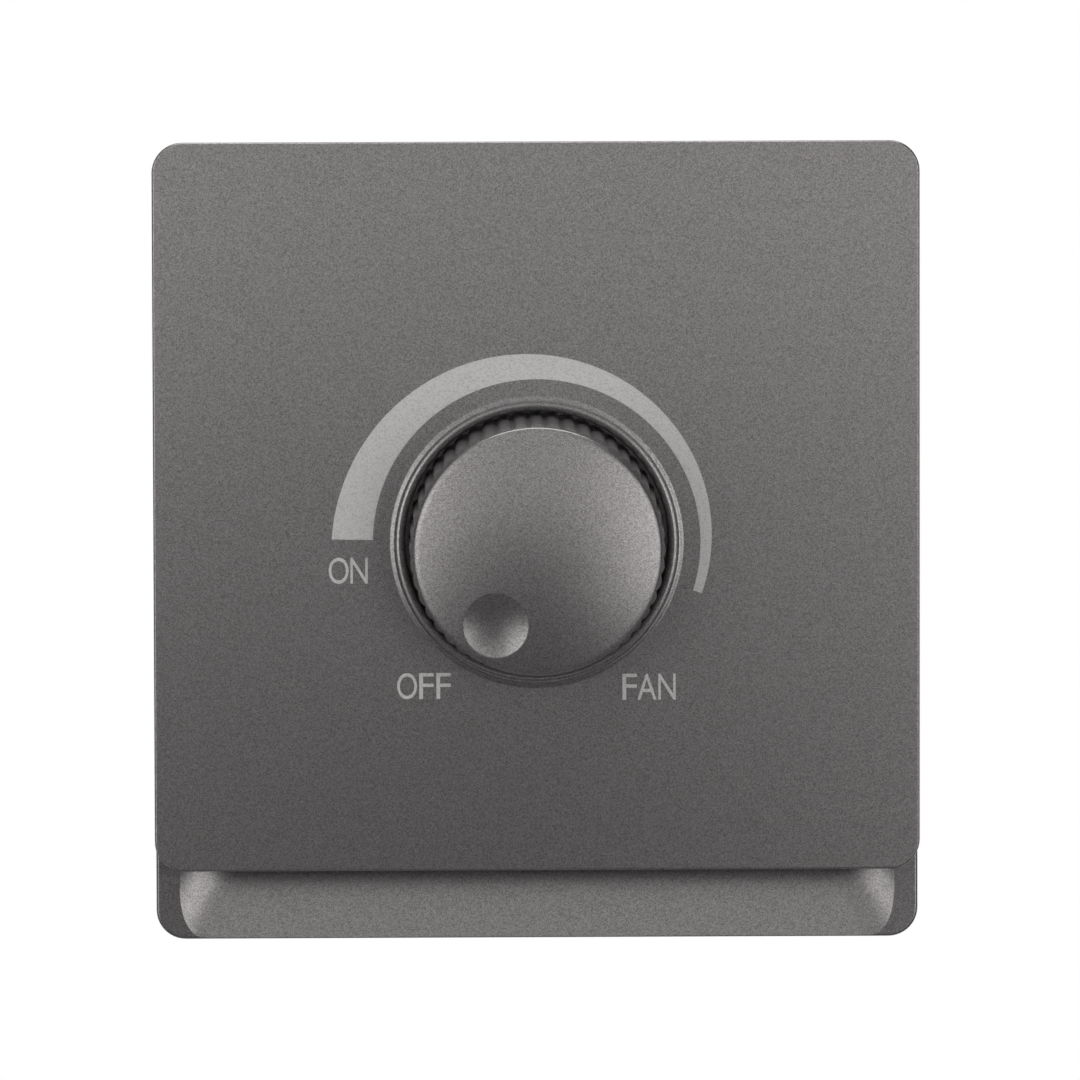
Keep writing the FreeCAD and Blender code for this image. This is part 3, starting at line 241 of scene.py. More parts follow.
# Choke: enamelled copper wire wound in one layer round a sintered ferrite ring, with both ends led down to
# the board. The turns lie side by side in the bore and fan out round the rim.
coat(moulding("grey_ferrite", dark=(0.03, 0.03, 0.031), light=(0.045, 0.045, 0.046), grain=0.00015,
              depth=0.00001, roughness=(0.45, 0.65)), "choke_core")
CORE_LOW, CORE_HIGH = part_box("choke_core")
CORE_MIDDLE = (CORE_LOW + CORE_HIGH) / 2
CORE_RADIUS = (CORE_HIGH.x - CORE_LOW.x) / 2
CORE_BORE = 0.0028
WIRE_RADIUS = 0.0003
WIRE_BEND = 0.0006
WIRE_LIFT = 1.1 * WIRE_RADIUS
WINDING_TURNS = 21
WINDING_ARC = math.radians(294)
LEAD_WIDTH = 0.0012
LEAD_END = 0.00001


def add_piece(name, mesh, finish, body):
    """Puts a finished mesh in the scene on the body that carries it."""
    piece = bpy.data.objects.new(name, mesh)
    bpy.context.scene.collection.objects.link(piece)
    piece.data.materials.clear()
    piece.data.materials.append(finish)
    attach(piece, body)
    return piece


def mesh_from(name, shape, crease=None):
    """Makes the shape a mesh: smooth up to the crease angle in degrees, or with flat faces."""
    mesh = bpy.data.meshes.new(name)
    shape.to_mesh(mesh)
    shape.free()
    if crease:
        mesh.shade_smooth()
        mesh.set_sharp_from_angle(angle=math.radians(crease))
    return mesh


def mesh_of_curve(curve):
    """Mesh of a curve or of a text, by way of a draft object."""
    draft = bpy.data.objects.new("draft", curve)
    mesh = bpy.data.meshes.new_from_object(draft)
    bpy.data.objects.remove(draft)
    return mesh


def round_wire(path, closed):
    """Mesh of a round wire along a path of corners."""
    line = bpy.data.curves.new("wire_path", "CURVE")
    line.dimensions = "3D"
    line.bevel_depth = WIRE_RADIUS
    line.bevel_resolution = 2
    line.use_fill_caps = True
    spline = line.splines.new("POLY")
    spline.points.add(len(path) - 1)
    for point, corner in zip(spline.points, path):
        point.co = (*corner, 1.0)
    spline.use_cyclic_u = closed
    return mesh_of_curve(line)


def lead_tips(node):
    """Middle of each lead of a node, where it ends behind the board."""
    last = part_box(node)[1].y
    tips = {}
    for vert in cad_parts[node].data.vertices:
        if last - vert.co.y < LEAD_END:
            home = next((tip for tip in tips if (Vector(tip) - vert.co).length < LEAD_WIDTH), tuple(vert.co))
            tips.setdefault(home, []).append(vert.co)
    return [sum(group, Vector()) / len(group) for group in tips.values()]


def whole(shape):
    return shape.verts[:] + shape.edges[:] + shape.faces[:]


inner, outer = CORE_BORE - WIRE_LIFT, CORE_RADIUS + WIRE_LIFT
rise = (CORE_HIGH.y - CORE_LOW.y) / 2 + WIRE_LIFT
half_turn = [(inner, -rise + WIRE_BEND), (inner + WIRE_BEND, -rise), (outer - WIRE_BEND, -rise),
             (outer, -rise + WIRE_BEND)]
one_turn = half_turn + [(x, -y) for x, y in reversed(half_turn)]
winding = bmesh.new()
winding.from_mesh(round_wire([(x, y, 0) for x, y in one_turn], closed=True))
bmesh.ops.spin(winding, geom=whole(winding), cent=(0, 0, 0), axis=(0, -1, 0), angle=WINDING_ARC,
               steps=WINDING_TURNS - 1, use_duplicate=True)
bmesh.ops.translate(winding, verts=winding.verts[:], vec=CORE_MIDDLE)
for tip in lead_tips("choke_winding"):
    start = Vector((tip.x, CORE_HIGH.y, tip.z))
    winding.from_mesh(round_wire([start, tip], closed=False))
copper = bare_metal("enamelled_copper", dark=(0.45, 0.16, 0.06), light=(0.62, 0.24, 0.1), patch=0.0008,
                    roughness=(0.2, 0.32))
turns_mesh = mesh_from("choke_turns", winding, crease=50)
turns = add_piece("choke_turns", turns_mesh, copper, "control")
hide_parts("choke_winding")


# Capacitors: a boxed suppression capacitor in yellow flame retardant plastic, and two green dipped film
# capacitors, soldered upright on the board.
coat(moulding("yellow_case", dark=(0.62, 0.4, 0.045), light=(0.7, 0.47, 0.06), grain=0.0012,
              depth=0.000004, roughness=(0.25, 0.35)), "film_capacitor")
coat(moulding("green_dip", dark=(0.05, 0.16, 0.05), light=(0.07, 0.21, 0.065), grain=0.0012,
              depth=0.000006, roughness=(0.2, 0.3)), "timing_capacitor", "snubber_capacitor")


# Resistors and diac: lacquered ceramic rods with colour rings, and a small blue glass diac with one dark
# ring, on tinned wires bent down into the board.
RESISTOR_LENGTH, DIAC_LENGTH = 0.0056, 0.004
TAN, BLUE = (0.54, 0.4, 0.23), (0.025, 0.085, 0.23)
BROWN, BLACK = (0.1, 0.03, 0.01), (0.01, 0.01, 0.01)
RED, ORANGE, GOLD = (0.4, 0.02, 0.02), (0.6, 0.16, 0.02), (0.45, 0.3, 0.08)
RESISTOR_RINGS = {"gate_resistor": (BROWN, BLACK, BROWN, GOLD),
                  "charge_resistor": (RED, RED, ORANGE, GOLD),
                  "snubber_resistor": (ORANGE, ORANGE, BLACK, GOLD)}


def ringed_rod(node, length, glaze, rings):
    """Colours along a rod: bare tinned wire, then glaze with evenly spaced rings, then wire again."""
    tin, bright, dull = (0.6, 0.6, 0.58), (1, 1, 1), (0, 0, 0)
    half_ring = 0.22
    ripple = 0.0006
    low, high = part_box(node)
    body = length / (high.x - low.x)
    left, right = (1 - body) / 2, (1 + body) / 2
    spacing = body / (len(rings) + 1)
    finish, tree, shader, place = new_finish(f"{node}_glaze")
    along = grow(tree, "ShaderNodeSeparateXYZ", {0: place}).outputs["X"]
    share = grow(tree, "ShaderNodeMapRange", {"Value": along, "From Min": low.x, "From Max": high.x})
    stops = [(0.0, tin), (left, glaze)]
    for count, ring in enumerate(rings, start=1):
        start, end = left + spacing * (count - half_ring), left + spacing * (count + half_ring)
        stops += [(start, ring), (end, glaze)]
    colour = ramp(tree, share.outputs["Result"], *stops, (right, tin), smooth=False)
    metal = ramp(tree, share.outputs["Result"], (0.0, bright), (left, dull), (right, bright), smooth=False)
    tree.links.new(colour, shader.inputs["Base Color"])
    tree.links.new(metal, shader.inputs["Metallic"])
    polish(tree, shader, noise(tree, place, ripple), 0.28, 0.42)
    return finish


for node, rings in RESISTOR_RINGS.items():
    coat(ringed_rod(node, RESISTOR_LENGTH, TAN, rings), node)
coat(ringed_rod("diac", DIAC_LENGTH, BLUE, (BLACK,)), "diac")


# Solder joints: a small bright cone of tin solder round each lead, where it comes out behind the board. The
# cone's side is hollow, because the molten solder climbs the lead.
SOLDER_FOOT, SOLDER_RISE = 0.0008, 0.00058
SOLDER_PROFILE = ((0, 1), (0.4, 0.9), (0.52, 0.5), (0.75, 0.18), (1, 0), (0, 0))
SOLDER_SIDES = 12
SOLDERED = ("pot_pins", "triac_leadframe", "choke_winding", "film_capacitor", "snubber_capacitor",
            "timing_capacitor", "snubber_resistor", "charge_resistor", "gate_resistor", "diac")
BOARD_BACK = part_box("circuit_board")[1].y
SAME_PLACE = 1e-7


def scaled(profile, radius, height):
    """Outline in real sizes, from one in shares of a radius and a height."""
    return [(radius * across, height * up) for across, up in profile]


def turned(shape, profile, steps):
    """Closed form round Z, from (radius, height) points that begin and end on the axis or in one place."""
    verts = [shape.verts.new((radius, 0, height)) for radius, height in profile]
    edges = [shape.edges.new(pair) for pair in zip(verts, verts[1:])]
    bmesh.ops.spin(shape, geom=verts + edges, cent=(0, 0, 0), axis=(0, 0, 1), angle=2 * math.pi, steps=steps,
                   use_merge=True)
    bmesh.ops.remove_doubles(shape, verts=shape.verts[:], dist=SAME_PLACE)
    bmesh.ops.recalc_face_normals(shape, faces=shape.faces[:])


def swing(shape, angle, axis):
    """Turns the whole shape about an axis through the origin."""
    bmesh.ops.rotate(shape, verts=shape.verts[:], cent=(0, 0, 0), matrix=Matrix.Rotation(angle, 3, axis))


def verts_in(items):
    return [item for item in items if isinstance(item, bmesh.types.BMVert)]


def repeat_at(shape, places):
    """Moves the whole shape to the first place and copies it to the others."""
    first = whole(shape)
    for place in places[1:]:
        copy = bmesh.ops.duplicate(shape, geom=first)["geom"]
        bmesh.ops.translate(shape, verts=verts_in(copy), vec=place)
    bmesh.ops.translate(shape, verts=verts_in(first), vec=places[0])


solder = bmesh.new()
turned(solder, scaled(SOLDER_PROFILE, SOLDER_FOOT, SOLDER_RISE), SOLDER_SIDES)
swing(solder, math.radians(-90), "X")
repeat_at(solder, [Vector((tip.x, BOARD_BACK, tip.z)) for node in SOLDERED for tip in lead_tips(node)])
solder_tin = bare_metal("solder_tin", dark=(0.56, 0.56, 0.55), light=(0.7, 0.7, 0.69), patch=0.0006,
                        roughness=(0.15, 0.32))
solder_mesh = mesh_from("solder_joints", solder, crease=60)
add_piece("solder_joints", solder_mesh, solder_tin, "control")


# Screws: zinc plated pan heads with cold formed cross recesses and rolled threads. They hold the housing on
# the frame, the board on its posts, the wires in their clamps and the triac on its heat sink.
HEAD_PROFILE = ((0, 1), (0.42, 0.96), (0.78, 0.76), (0.96, 0.45), (1, 0.2), (0.97, 0), (0, 0))
RECESS_ARM, RECESS_REACH = 0.2, 0.62
RECESS_DEPTH, RECESS_TAPER = 0.6, 0.55
NECK_RISE = 0.1
POINT_WIDTH = 0.4
THREAD_HEIGHT, THREAD_ROOT = 0.3, 0.95
SCREW_SIDES, THREAD_SIDES = 24, 12
TO_BACK, TO_FRONT = 1, -1


def cross_recess(shape, radius, depth):
    """Sinks a cross with tapered walls into a head."""
    arm, reach = RECESS_ARM * radius, RECESS_REACH * radius
    for across in (-reach, -arm, arm, reach):
        for normal in (Vector((1, 0, 0)), Vector((0, 1, 0))):
            bmesh.ops.bisect_plane(shape, geom=whole(shape), plane_co=normal * across, plane_no=normal)
    slots = []
    for face in shape.faces:
        middle = face.calc_center_median()
        near, far = sorted((abs(middle.x), abs(middle.y)))
        if face.normal.z > 0 and near < arm and far < reach:
            slots.append(face)
    foot = verts_in(bmesh.ops.extrude_face_region(shape, geom=slots)["geom"])
    bmesh.ops.delete(shape, geom=slots, context="FACES")
    bmesh.ops.translate(shape, verts=foot, vec=(0, 0, -RECESS_DEPTH * depth))
    bmesh.ops.scale(shape, verts=foot, vec=(RECESS_TAPER, RECESS_TAPER, 1))


def rolled_thread(shape, root, crest, length, pitch):
    """Ridge that winds down the shank from just under the head."""
    turns = int(length / pitch) - 2
    flanks = ((root, 1), (crest, 1 + THREAD_HEIGHT), (root, 1 + 2 * THREAD_HEIGHT))
    ridge = [shape.verts.new((radius, 0, -drop * pitch)) for radius, drop in flanks]
    sides = [shape.edges.new((ridge[at - 1], ridge[at])) for at in range(len(ridge))]
    run = bmesh.ops.spin(shape, geom=ridge + sides, cent=(0, 0, 0), axis=(0, 0, 1),
                         dvec=(0, 0, -pitch / THREAD_SIDES), angle=2 * math.pi * turns,
                         steps=THREAD_SIDES * turns)
    shape.faces.new(ridge)
    shape.faces.new(verts_in(run["geom_last"]))
    bmesh.ops.recalc_face_normals(shape, faces=shape.faces[:])


def spots(low, high, radius):
    """One place in the middle, or one at each end where there is room for two."""
    return [low + radius, high - radius] if high - low > 3 * radius else [(low + high) / 2]


def pan_screws(name, node, facing, radius, depth, shank, pitch):
    """Screws in the places of a node's own, with heads that face the back or the front."""
    low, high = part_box(node)
    length = high.y - low.y - depth
    core = shank - THREAD_HEIGHT * pitch
    neck = NECK_RISE * depth
    shape = bmesh.new()
    turned(shape, scaled(HEAD_PROFILE, radius, depth), SCREW_SIDES)
    cross_recess(shape, radius, depth)
    turned(shape, [(0, neck), (core, neck), (core, core - length), (POINT_WIDTH * core, -length),
                   (0, -length)], SCREW_SIDES)
    rolled_thread(shape, THREAD_ROOT * core, shank, length, pitch)
    swing(shape, math.radians(-90 * facing), "X")
    seat = high.y - depth if facing == TO_BACK else low.y + depth
    repeat_at(shape, [Vector((x, seat, z)) for x in spots(low.x, high.x, radius)
                      for z in spots(low.z, high.z, radius)])
    screws = add_piece(name, mesh_from(name, shape, crease=35), zinc, "control")
    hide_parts(node)


pan_screws("housing_pan_screws", "housing_screws", TO_BACK,
           radius=0.0026, depth=0.0018, shank=0.0014, pitch=0.0008)
pan_screws("board_pan_screws", "board_screws", TO_FRONT,
           radius=0.0023, depth=0.0016, shank=0.0012, pitch=0.0008)
pan_screws("clamp_pan_screws", "terminal_screws", TO_BACK,
           radius=0.0019, depth=0.0016, shank=0.0015, pitch=0.0005)
pan_screws("triac_pan_screw", "triac_screw", TO_FRONT,
           radius=0.00275, depth=0.002, shank=0.00145, pitch=0.0005)


# Mounting frame: a moulded tray that two screws hold on the wall box, with the pull recess in its lower lip.
# It is sprayed with the same satin lacquer as the plate and the knob, whose fine aluminium flakes give the
# grey its grain.
def speckle(tree, place, size):
    """Outputs with a random number for each speckle of about this size."""
    cells = grow(tree, "ShaderNodeTexVoronoi", {"Vector": place, "Scale": 1 / size})
    return grow(tree, "ShaderNodeSeparateColor", {"Color": cells.outputs["Color"]}).outputs


def satin_lacquer():
    flake_size = 0.00009
    orange_peel, peel_depth = 0.0007, 0.000002
    dark_flake, grey, bright_flake = (0.106, 0.101, 0.1005), (0.1725, 0.1645, 0.164), (0.247, 0.236, 0.235)
    finish, tree, shader, place = new_finish("satin_grey_lacquer", Metallic=0.8)
    flakes = speckle(tree, place, flake_size)
    colour = ramp(tree, flakes["Red"], (0.0, dark_flake), (0.5, grey), (1.0, bright_flake))
    tree.links.new(colour, shader.inputs["Base Color"])
    polish(tree, shader, flakes["Green"], 0.32, 0.37)
    relief(tree, shader, noise(tree, place, orange_peel), peel_depth)
    return finish


lacquer = satin_lacquer()
coat(lacquer, "base_frame")


# Dial cup: the moulded ring that the knob turns in, in the same lacquer. Its rim has a fine ridge outside
# and rolls over into the bore. A brass nut on a zinc plated washer clamps it and the potentiometer to each
# other.
CUP_BACK, CUP_FLOOR = 0.002, 0.0035
CUP_HOLE, CUP_BORE, CUP_WALL, CUP_FLANGE = 0.0036, 0.01475, 0.0157, 0.018
FLANGE_BACK, FLANGE_FRONT = 0.005, 0.006
LEDGE, LEDGE_FRONT = 0.0159, 0.009
RIDGE, RIDGE_FOOT = 0.01568, 0.00919
CREST, CREST_FRONT = 0.01546, 0.00926
ROLL = 0.0007
ROLL_STEPS = 8
CUP_STEPS = 180

roll_turns = [math.pi / 2 * step / ROLL_STEPS for step in range(ROLL_STEPS + 1)]
roll_points = [(CUP_BORE + ROLL * (1 - math.sin(turn)), CREST_FRONT - ROLL * (1 - math.cos(turn)))
               for turn in roll_turns]
cup = bmesh.new()
turned(cup, [(CUP_HOLE, CUP_BACK), (CUP_WALL, CUP_BACK), (CUP_WALL, FLANGE_BACK), (CUP_FLANGE, FLANGE_BACK),
             (CUP_FLANGE, FLANGE_FRONT), (LEDGE, FLANGE_FRONT), (LEDGE, LEDGE_FRONT),
             (RIDGE, LEDGE_FRONT), (RIDGE, RIDGE_FOOT), (CREST, CREST_FRONT), *roll_points,
             (CUP_BORE, CUP_FLOOR), (CUP_HOLE, CUP_FLOOR), (CUP_HOLE, CUP_BACK)], CUP_STEPS)
swing(cup, math.radians(90), "X")
dial_ring = add_piece("dial_ring", mesh_from("dial_ring", cup, crease=15), lacquer, "control")
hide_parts("dial_cup")
coat(zinc, "bush_washer")
coat(brass, "bush_nut")


# Front plate: a moulded cover with a raised bead round the dial, clipped on the frame by four hooks and
# sprayed with the satin lacquer. The marks are pad printed on it in pale grey ink: an arc that is broadest
# next to ON, and the words.
CAD_BEAD_HEIGHT = 0.0005
PLATE_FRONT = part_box("front_plate")[0].y + CAD_BEAD_HEIGHT
BEAD_INNER, BEAD_OUTER = 0.01594, 0.01654
BEAD_HEIGHT = 0.00017
LEANS_FORWARD, FACES_FORWARD = -0.1, -0.9
INK_THICKNESS = 0.00002
ARC_INNER = 0.01837
ARC_START, ARC_END = math.radians(-17.5), math.radians(179.0)
ARC_THIN, ARC_BROAD = 0.00104, 0.00462
ARC_SWELL = 1.17
ARC_STEPS = 120
LETTER_HEIGHT = 0.00294
LETTER_WIDTH = {"O": 0.00223, "N": 0.00195, "F": 0.00162, "A": 0.00213}
LETTER_GAP = {"ON": 0.0002, "OF": 0.00025, "FF": 0.0003, "FA": 0.00008, "AN": 0.0002}
WORDS = (("ON", -0.02114, -0.00314), ("OFF", -0.01269, -0.01621), ("FAN", 0.01257, -0.01638))


def true_copy(node):
    """Copy of a node as one closed shape, with its true normals in a layer of their own."""
    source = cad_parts[node].data
    shape = bmesh.new()
    shape.from_mesh(source)
    true = shape.loops.layers.float_vector.new("true_normal")
    for face, polygon in zip(shape.faces, source.polygons):
        for loop, corner in zip(face.loops, polygon.loop_indices):
            loop[true] = source.corner_normals[corner].vector
    bmesh.ops.remove_doubles(shape, verts=shape.verts[:], dist=SAME_PLACE)
    return shape, true


def true_mesh(name, shape):
    """Makes the copy a mesh that is shaded by the layer of normals."""
    mesh = mesh_from(name, shape)
    mesh.shade_smooth()
    mesh.normals_split_custom_set([tuple(item.vector) for item in mesh.attributes["true_normal"].data])
    mesh.attributes.remove(mesh.attributes["true_normal"])
    return mesh


def bead_angle(radius):
    """Way across the bead as an angle, from 0 at its foot on the plate to pi at the opening."""
    return math.pi * (BEAD_OUTER - radius) / (BEAD_OUTER - BEAD_INNER)


cover, true = true_copy("front_plate")
for face in cover.faces:
    for loop in face.loops:
        x, y, z = loop.vert.co
        radius = math.hypot(x, z)
        on_front = y < PLATE_FRONT + SAME_PLACE and loop[true].y < LEANS_FORWARD
        if on_front and radius < BEAD_OUTER + SAME_PLACE:
            slope = BEAD_HEIGHT * math.pi / 2 * math.sin(bead_angle(radius)) / (BEAD_OUTER - BEAD_INNER)
            loop[true] = Vector((slope * x / radius, -1, slope * z / radius)).normalized()
for vert in cover.verts:
    if vert.co.y < PLATE_FRONT - SAME_PLACE:
        radius = math.hypot(vert.co.x, vert.co.z)
        vert.co.y = PLATE_FRONT - BEAD_HEIGHT * (1 - math.cos(bead_angle(radius))) / 2
cover_plate = add_piece("cover_plate", true_mesh("cover_plate", cover), lacquer, "control")
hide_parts("front_plate")


def print_ink():
    pin_hole = 0.00012
    worn, full = (0.29, 0.286, 0.284), (0.40, 0.395, 0.39)
    finish, tree, shader, place = new_finish("pale_grey_ink", Roughness=0.55)
    grain = speckle(tree, place, pin_hole)["Red"]
    tree.links.new(ramp(tree, grain, (0.0, worn), (0.5, full)), shader.inputs["Base Color"])
    return finish


ink = print_ink()
arc = bmesh.new()
inner_end = arc.verts.new((ARC_INNER, PLATE_FRONT, 0))
outer_end = arc.verts.new((ARC_INNER + ARC_THIN, PLATE_FRONT, 0))
stroke = arc.edges.new((inner_end, outer_end))
swing(arc, -ARC_START, "Y")
bmesh.ops.spin(arc, geom=[inner_end, outer_end, stroke], cent=(0, 0, 0), axis=(0, -1, 0),
               angle=ARC_END - ARC_START, steps=ARC_STEPS, use_merge=False)
for vert in arc.verts:
    radius = math.hypot(vert.co.x, vert.co.z)
    if radius > ARC_INNER + ARC_THIN / 2:
        swung = (math.atan2(vert.co.z, vert.co.x) - ARC_START) % (2 * math.pi)
        share = swung / (ARC_END - ARC_START)
        width = ARC_THIN + (ARC_BROAD - ARC_THIN) * share ** ARC_SWELL
        vert.co.x *= (ARC_INNER + width) / radius
        vert.co.z *= (ARC_INNER + width) / radius
raised = bmesh.ops.extrude_face_region(arc, geom=arc.faces[:])["geom"]
bmesh.ops.translate(arc, verts=verts_in(raised), vec=(0, -INK_THICKNESS, 0))
bmesh.ops.recalc_face_normals(arc, faces=arc.faces[:])
add_piece("printed_arc", mesh_from("printed_arc", arc), ink, "control")


def letter_mesh(letter, left, z):
    """One capital, fitted to its own width and height, with its left edge and its middle as given."""
    outline = bpy.data.curves.new(f"outline_{letter}", "FONT")
    outline.body = letter
    outline.extrude = INK_THICKNESS / 2
    mesh = mesh_of_curve(outline)
    xs, ys = [vert.co.x for vert in mesh.vertices], [vert.co.y for vert in mesh.vertices]
    widen, heighten = LETTER_WIDTH[letter] / (max(xs) - min(xs)), LETTER_HEIGHT / (max(ys) - min(ys))
    fit = Matrix.Diagonal((widen, heighten, 1, 1))
    corner = Matrix.Translation((-min(xs), -(max(ys) + min(ys)) / 2, 0))
    face_front = Matrix.Rotation(math.radians(90), 4, "X")
    seat = Matrix.Translation((left, PLATE_FRONT - INK_THICKNESS / 2, z))
    mesh.transform(seat @ face_front @ fit @ corner)
    return mesh


for word, x, z in WORDS:
    steps = [LETTER_WIDTH[letter] for letter in word]
    gaps = [LETTER_GAP[word[at:at + 2]] for at in range(len(word) - 1)]
    left = x - (sum(steps) + sum(gaps)) / 2
    for at, letter in enumerate(word):
        mesh = letter_mesh(letter, left, z)
        add_piece(f"printed_{word.lower()}_{at}", mesh, ink, "control")
        left += steps[at] + sum(gaps[at:at + 1])


# Knob: a ribbed moulding with a domed cap and a finger dimple, pressed on the flat sided shaft and finished
# in the satin lacquer. The cap rolls over at its edge, the dimple's edge is softly rounded, and the ribs are
# cut back at a slant under the cap.
KNOB_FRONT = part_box("knob")[0].y
CAP_RADIUS, CAP_DEPTH = 0.01395, 0.001639
CAP_SHOULDER = 0.0132
DOME_RADIUS = 0.0702
DIMPLE_X, DIMPLE_Z = -0.004725, -0.008184
DIMPLE_RADIUS, DIMPLE_DEPTH = 0.00367, 0.00066
DIMPLE_EDGE = 0.02
DIMPLE_RINGS = (0.15, 0.3, 0.45, 0.6, 0.72, 0.82, 0.9, 0.95, 0.98, 1.0, 1.02, 1.06)
DOME_RINGS = 32
RING_CROWDING = 2.5
RIB_SLANT = 2.5
EDGE_RUN = CAP_RADIUS - CAP_SHOULDER
SHOULDER_RISE = math.sqrt(DOME_RADIUS ** 2 - CAP_SHOULDER ** 2)
SHOULDER_SLOPE = CAP_SHOULDER / SHOULDER_RISE
EDGE_DROP = CAP_DEPTH - (DOME_RADIUS - SHOULDER_RISE) - SHOULDER_SLOPE * EDGE_RUN


def dome_level(x, z):
    """Where the front of the cap lies: on the dome, down over its edge, and sunk where the dimple is."""
    radius = min(math.hypot(x, z), CAP_RADIUS)
    past = max(radius - CAP_SHOULDER, 0)
    fall = DOME_RADIUS - math.sqrt(DOME_RADIUS ** 2 - (radius - past) ** 2)
    fall += SHOULDER_SLOPE * past + EDGE_DROP * (1 - math.sqrt(max(1 - (past / EDGE_RUN) ** 2, 0)))
    hollow = 1 - ((x - DIMPLE_X) ** 2 + (z - DIMPLE_Z) ** 2) / DIMPLE_RADIUS ** 2
    return KNOB_FRONT + fall + DIMPLE_DEPTH * (hollow + math.hypot(hollow, DIMPLE_EDGE)) / 2


def dome_vert(shape, x, z):
    return shape.verts.new((x, dome_level(x, z), z))


def dome_normal(x, z):
    step = 1e-6
    across = (dome_level(x + step, z) - dome_level(x - step, z)) / (2 * step)
    upward = (dome_level(x, z + step) - dome_level(x, z - step)) / (2 * step)
    return Vector((across, -1, upward)).normalized()


def in_cap(face):
    middle = face.calc_center_median()
    in_front = face.normal.y < 0 and middle.y < KNOB_FRONT + CAP_DEPTH
    return in_front and math.hypot(middle.x, middle.z) < CAP_RADIUS


def past_cap(vert):
    return vert.co.xz.length > CAP_RADIUS - SAME_PLACE


knob, true = true_copy("knob")
bmesh.ops.delete(knob, geom=[face for face in knob.faces if in_cap(face)], context="FACES")
for face in knob.faces:
    if all(loop[true].y < FACES_FORWARD and past_cap(loop.vert) for loop in face.loops):
        for loop in face.loops:
            outward = loop.vert.co.xz.normalized() * RIB_SLANT
            loop[true] = Vector((outward.x, -1, outward.y)).normalized()
rib_ends = {vert for face in knob.faces for vert in face.verts
            if all(past_cap(loop.vert) and loop[true].y < 0 for loop in face.loops)
            and face.normal.y < FACES_FORWARD}
for vert in rib_ends:
    vert.co.y += RIB_SLANT * max(vert.co.xz.length - CAP_RADIUS, 0)
cap_edge = {vert for edge in knob.edges if edge.is_boundary for vert in edge.verts}
rays = []
for end in sorted(cap_edge, key=lambda vert: math.atan2(vert.co.z - DIMPLE_Z, vert.co.x - DIMPLE_X)):
    away = Vector((end.co.x - DIMPLE_X, end.co.z - DIMPLE_Z))
    shares = [DIMPLE_RADIUS * ring / away.length for ring in DIMPLE_RINGS]
    rim = shares[-1]
    shares += [1 - (1 - rim) * (1 - step / DOME_RINGS) ** RING_CROWDING for step in range(1, DOME_RINGS)]
    ray = [dome_vert(knob, DIMPLE_X + away.x * share, DIMPLE_Z + away.y * share) for share in shares]
    rays.append(ray + [end])
middle = dome_vert(knob, DIMPLE_X, DIMPLE_Z)
cap = []
for ray, after in zip(rays, rays[1:] + rays[:1]):
    cap.append(knob.faces.new((middle, ray[0], after[0])))
    for at in range(len(ray) - 1):
        cap.append(knob.faces.new((ray[at], ray[at + 1], after[at + 1], after[at])))
for face in cap:
    for loop in face.loops:
        loop[true] = dome_normal(loop.vert.co.x, loop.vert.co.z)
bmesh.ops.recalc_face_normals(knob, faces=knob.faces[:])
dial_knob = add_piece("dial_knob", true_mesh("dial_knob", knob), lacquer, "dial")
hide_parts("knob")


# Studio: a pale floor well below the object, a white backdrop, soft boxes left, right and above in front,
# one overhead, and two behind for the housing.
FLOOR_DROP = 0.5
FLOOR_REACH = 6.0
FILL_LIGHT = 0.004
WHITE = (1, 1, 1, 1)
floor_shape = bmesh.new()
bmesh.ops.create_grid(floor_shape, x_segments=1, y_segments=1, size=FLOOR_REACH)
bmesh.ops.translate(floor_shape, verts=floor_shape.verts, vec=(0, 0, cad_box[0].z - FLOOR_DROP))
floor = bpy.data.objects.new("floor", mesh_from("floor", floor_shape))
bpy.context.scene.collection.objects.link(floor)


def pale_floor():
    """Grey floor that fades to white away from the object, for the camera and for reflections behind."""
    fade_near, fade_far = 0.3, 0.7
    behind_object = 0.1
    finish, tree, shader, place = new_finish("pale_floor", Roughness=0.8)
    shader.inputs["Base Color"].default_value = (0.8, 0.8, 0.8, 1.0)
    far = grow(tree, "ShaderNodeVectorMath", {0: place}, operation="LENGTH").outputs["Value"]
    fade = grow(tree, "ShaderNodeMapRange", {"Value": far, "From Min": fade_near, "From Max": fade_far},
                interpolation_type="SMOOTHSTEP").outputs["Result"]
    depth = grow(tree, "ShaderNodeSeparateXYZ", {0: place}).outputs["Y"]
    behind = reckon(tree, "GREATER_THAN", depth, behind_object)
    light_path = grow(tree, "ShaderNodeLightPath").outputs
    mirrored = reckon(tree, "MAXIMUM", light_path["Is Glossy Ray"], light_path["Is Transmission Ray"])
    mirrored_behind = reckon(tree, "MULTIPLY", mirrored, behind)
    seen = reckon(tree, "MAXIMUM", mirrored_behind, light_path["Is Camera Ray"])
    share = reckon(tree, "MULTIPLY", seen, fade)
    white = grow(tree, "ShaderNodeEmission", {"Color": WHITE, "Strength": 1.0}).outputs[0]
    mixed = grow(tree, "ShaderNodeMixShader", {0: share, 1: shader.outputs[0], 2: white})
    tree.links.new(mixed.outputs[0], tree.nodes["Material Output"].inputs["Surface"])
    return finish


floor.data.materials.append(pale_floor())


def seen_from(azimuth, elevation):
    """Unit vector from the object towards a place seen at these angles, 0, 0 being straight in front."""
    turn, lift = math.radians(azimuth), math.radians(elevation)
    return Vector((math.sin(turn) * math.cos(lift), -math.cos(turn) * math.cos(lift), math.sin(lift)))


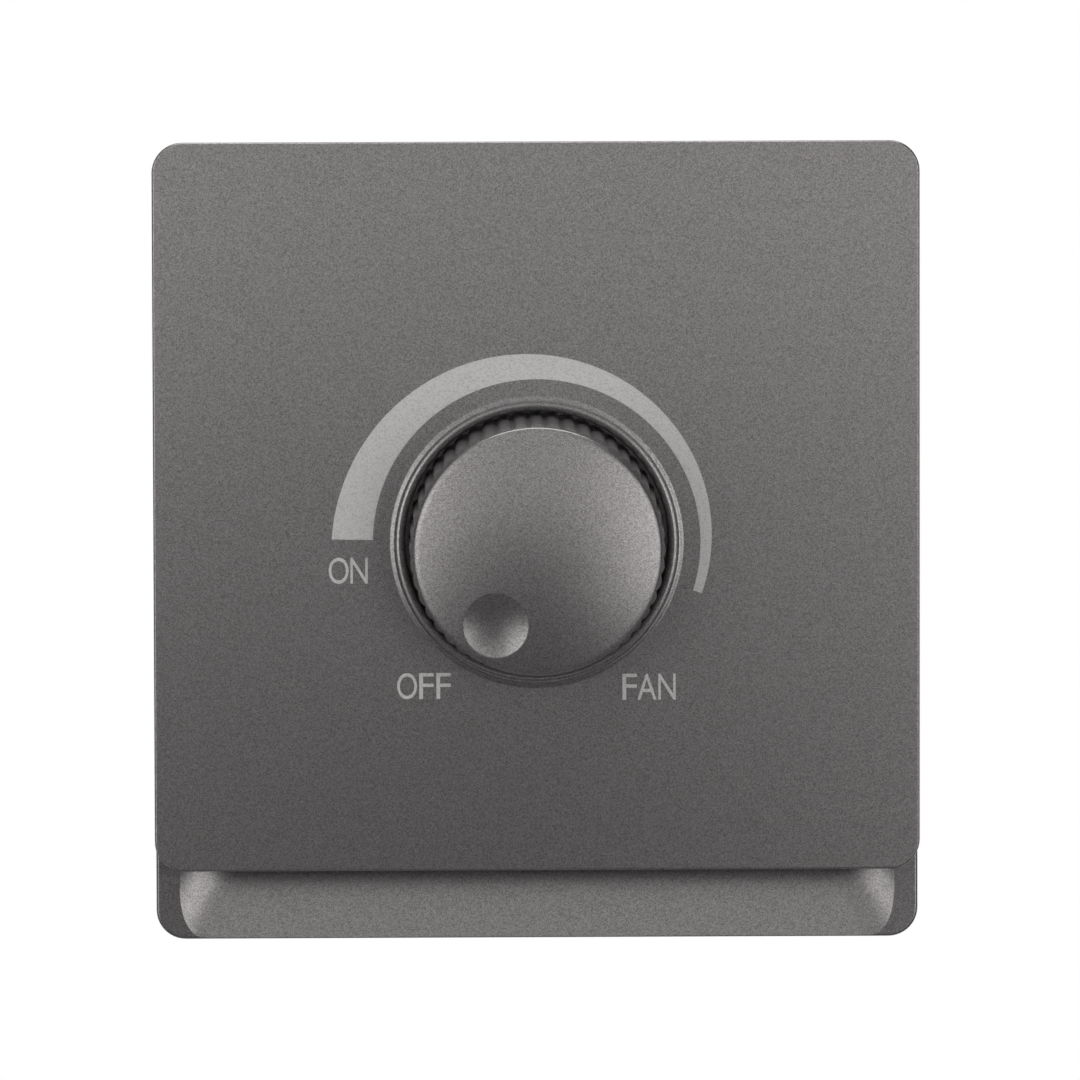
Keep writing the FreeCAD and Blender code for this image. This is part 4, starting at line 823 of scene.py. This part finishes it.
def soft_box(name, azimuth, elevation, distance, width, height, power):
    lamp = bpy.data.lights.new(name, "AREA")
    lamp.shape = "RECTANGLE"
    lamp.size = width
    lamp.size_y = height
    lamp.energy = power
    holder = bpy.data.objects.new(name, lamp)
    bpy.context.scene.collection.objects.link(holder)
    towards = seen_from(azimuth, elevation)
    holder.location = Vector((0, PLATE_FRONT, 0)) + towards * distance
    holder.rotation_euler = (-towards).to_track_quat("-Z", "Y").to_euler()
    holder.visible_camera = False


soft_box("left_soft_box", azimuth=-38, elevation=-1, distance=0.347, width=0.2, height=0.225, power=0.435)
soft_box("right_soft_box", azimuth=33.5, elevation=-1, distance=0.347, width=0.2, height=0.225, power=0.514)
soft_box("top_soft_box", azimuth=-14, elevation=27, distance=0.175, width=0.25, height=0.19, power=0.155)
soft_box("overhead_soft_box", azimuth=0, elevation=86, distance=0.36, width=0.36, height=0.24, power=1.44)
soft_box("rear_left_soft_box", azimuth=-140, elevation=20, distance=0.5, width=0.3, height=0.3, power=0.9)
soft_box("rear_right_soft_box", azimuth=140, elevation=20, distance=0.5, width=0.3, height=0.3, power=0.9)

world = bpy.data.worlds.new("studio")
bpy.context.scene.world = world
world.use_nodes = True
sky = world.node_tree
on_camera = grow(sky, "ShaderNodeLightPath").outputs["Is Camera Ray"]
backdrop = grow(sky, "ShaderNodeBackground", {"Color": WHITE, "Strength": 1.0}).outputs[0]
fill = sky.nodes["Background"]
fill.inputs["Color"].default_value = WHITE
fill.inputs["Strength"].default_value = FILL_LIGHT
both = grow(sky, "ShaderNodeMixShader", {0: on_camera, 1: fill.outputs[0], 2: backdrop})
sky.links.new(both.outputs[0], sky.nodes["World Output"].inputs["Surface"])


# Camera: a long lens two metres away, a little above the dial axis and almost square on, so that the plate
# keeps its square shape.
CAMERA_DISTANCE = 2.0
CAMERA_AZIMUTH, CAMERA_ELEVATION = -0.733, 6.562
CAMERA_ROLL = math.radians(-0.15)
CAMERA_LENS = 594.62
AIM = Vector((0.000376, -0.009, 0.000237))
towards = seen_from(CAMERA_AZIMUTH, CAMERA_ELEVATION)
lens = bpy.data.cameras.new("camera")
lens.lens = CAMERA_LENS
lens.sensor_width = 36.0
lens.clip_end = 20.0
camera = bpy.data.objects.new("camera", lens)
bpy.context.scene.collection.objects.link(camera)
stand = Matrix.Translation(AIM + towards * CAMERA_DISTANCE)
square_on = (-towards).to_track_quat("-Z", "Y").to_matrix().to_4x4()
camera.matrix_world = stand @ square_on @ Matrix.Rotation(CAMERA_ROLL, 4, "Z")
bpy.context.scene.camera = camera
bpy.context.scene.view_settings.view_transform = "Standard"
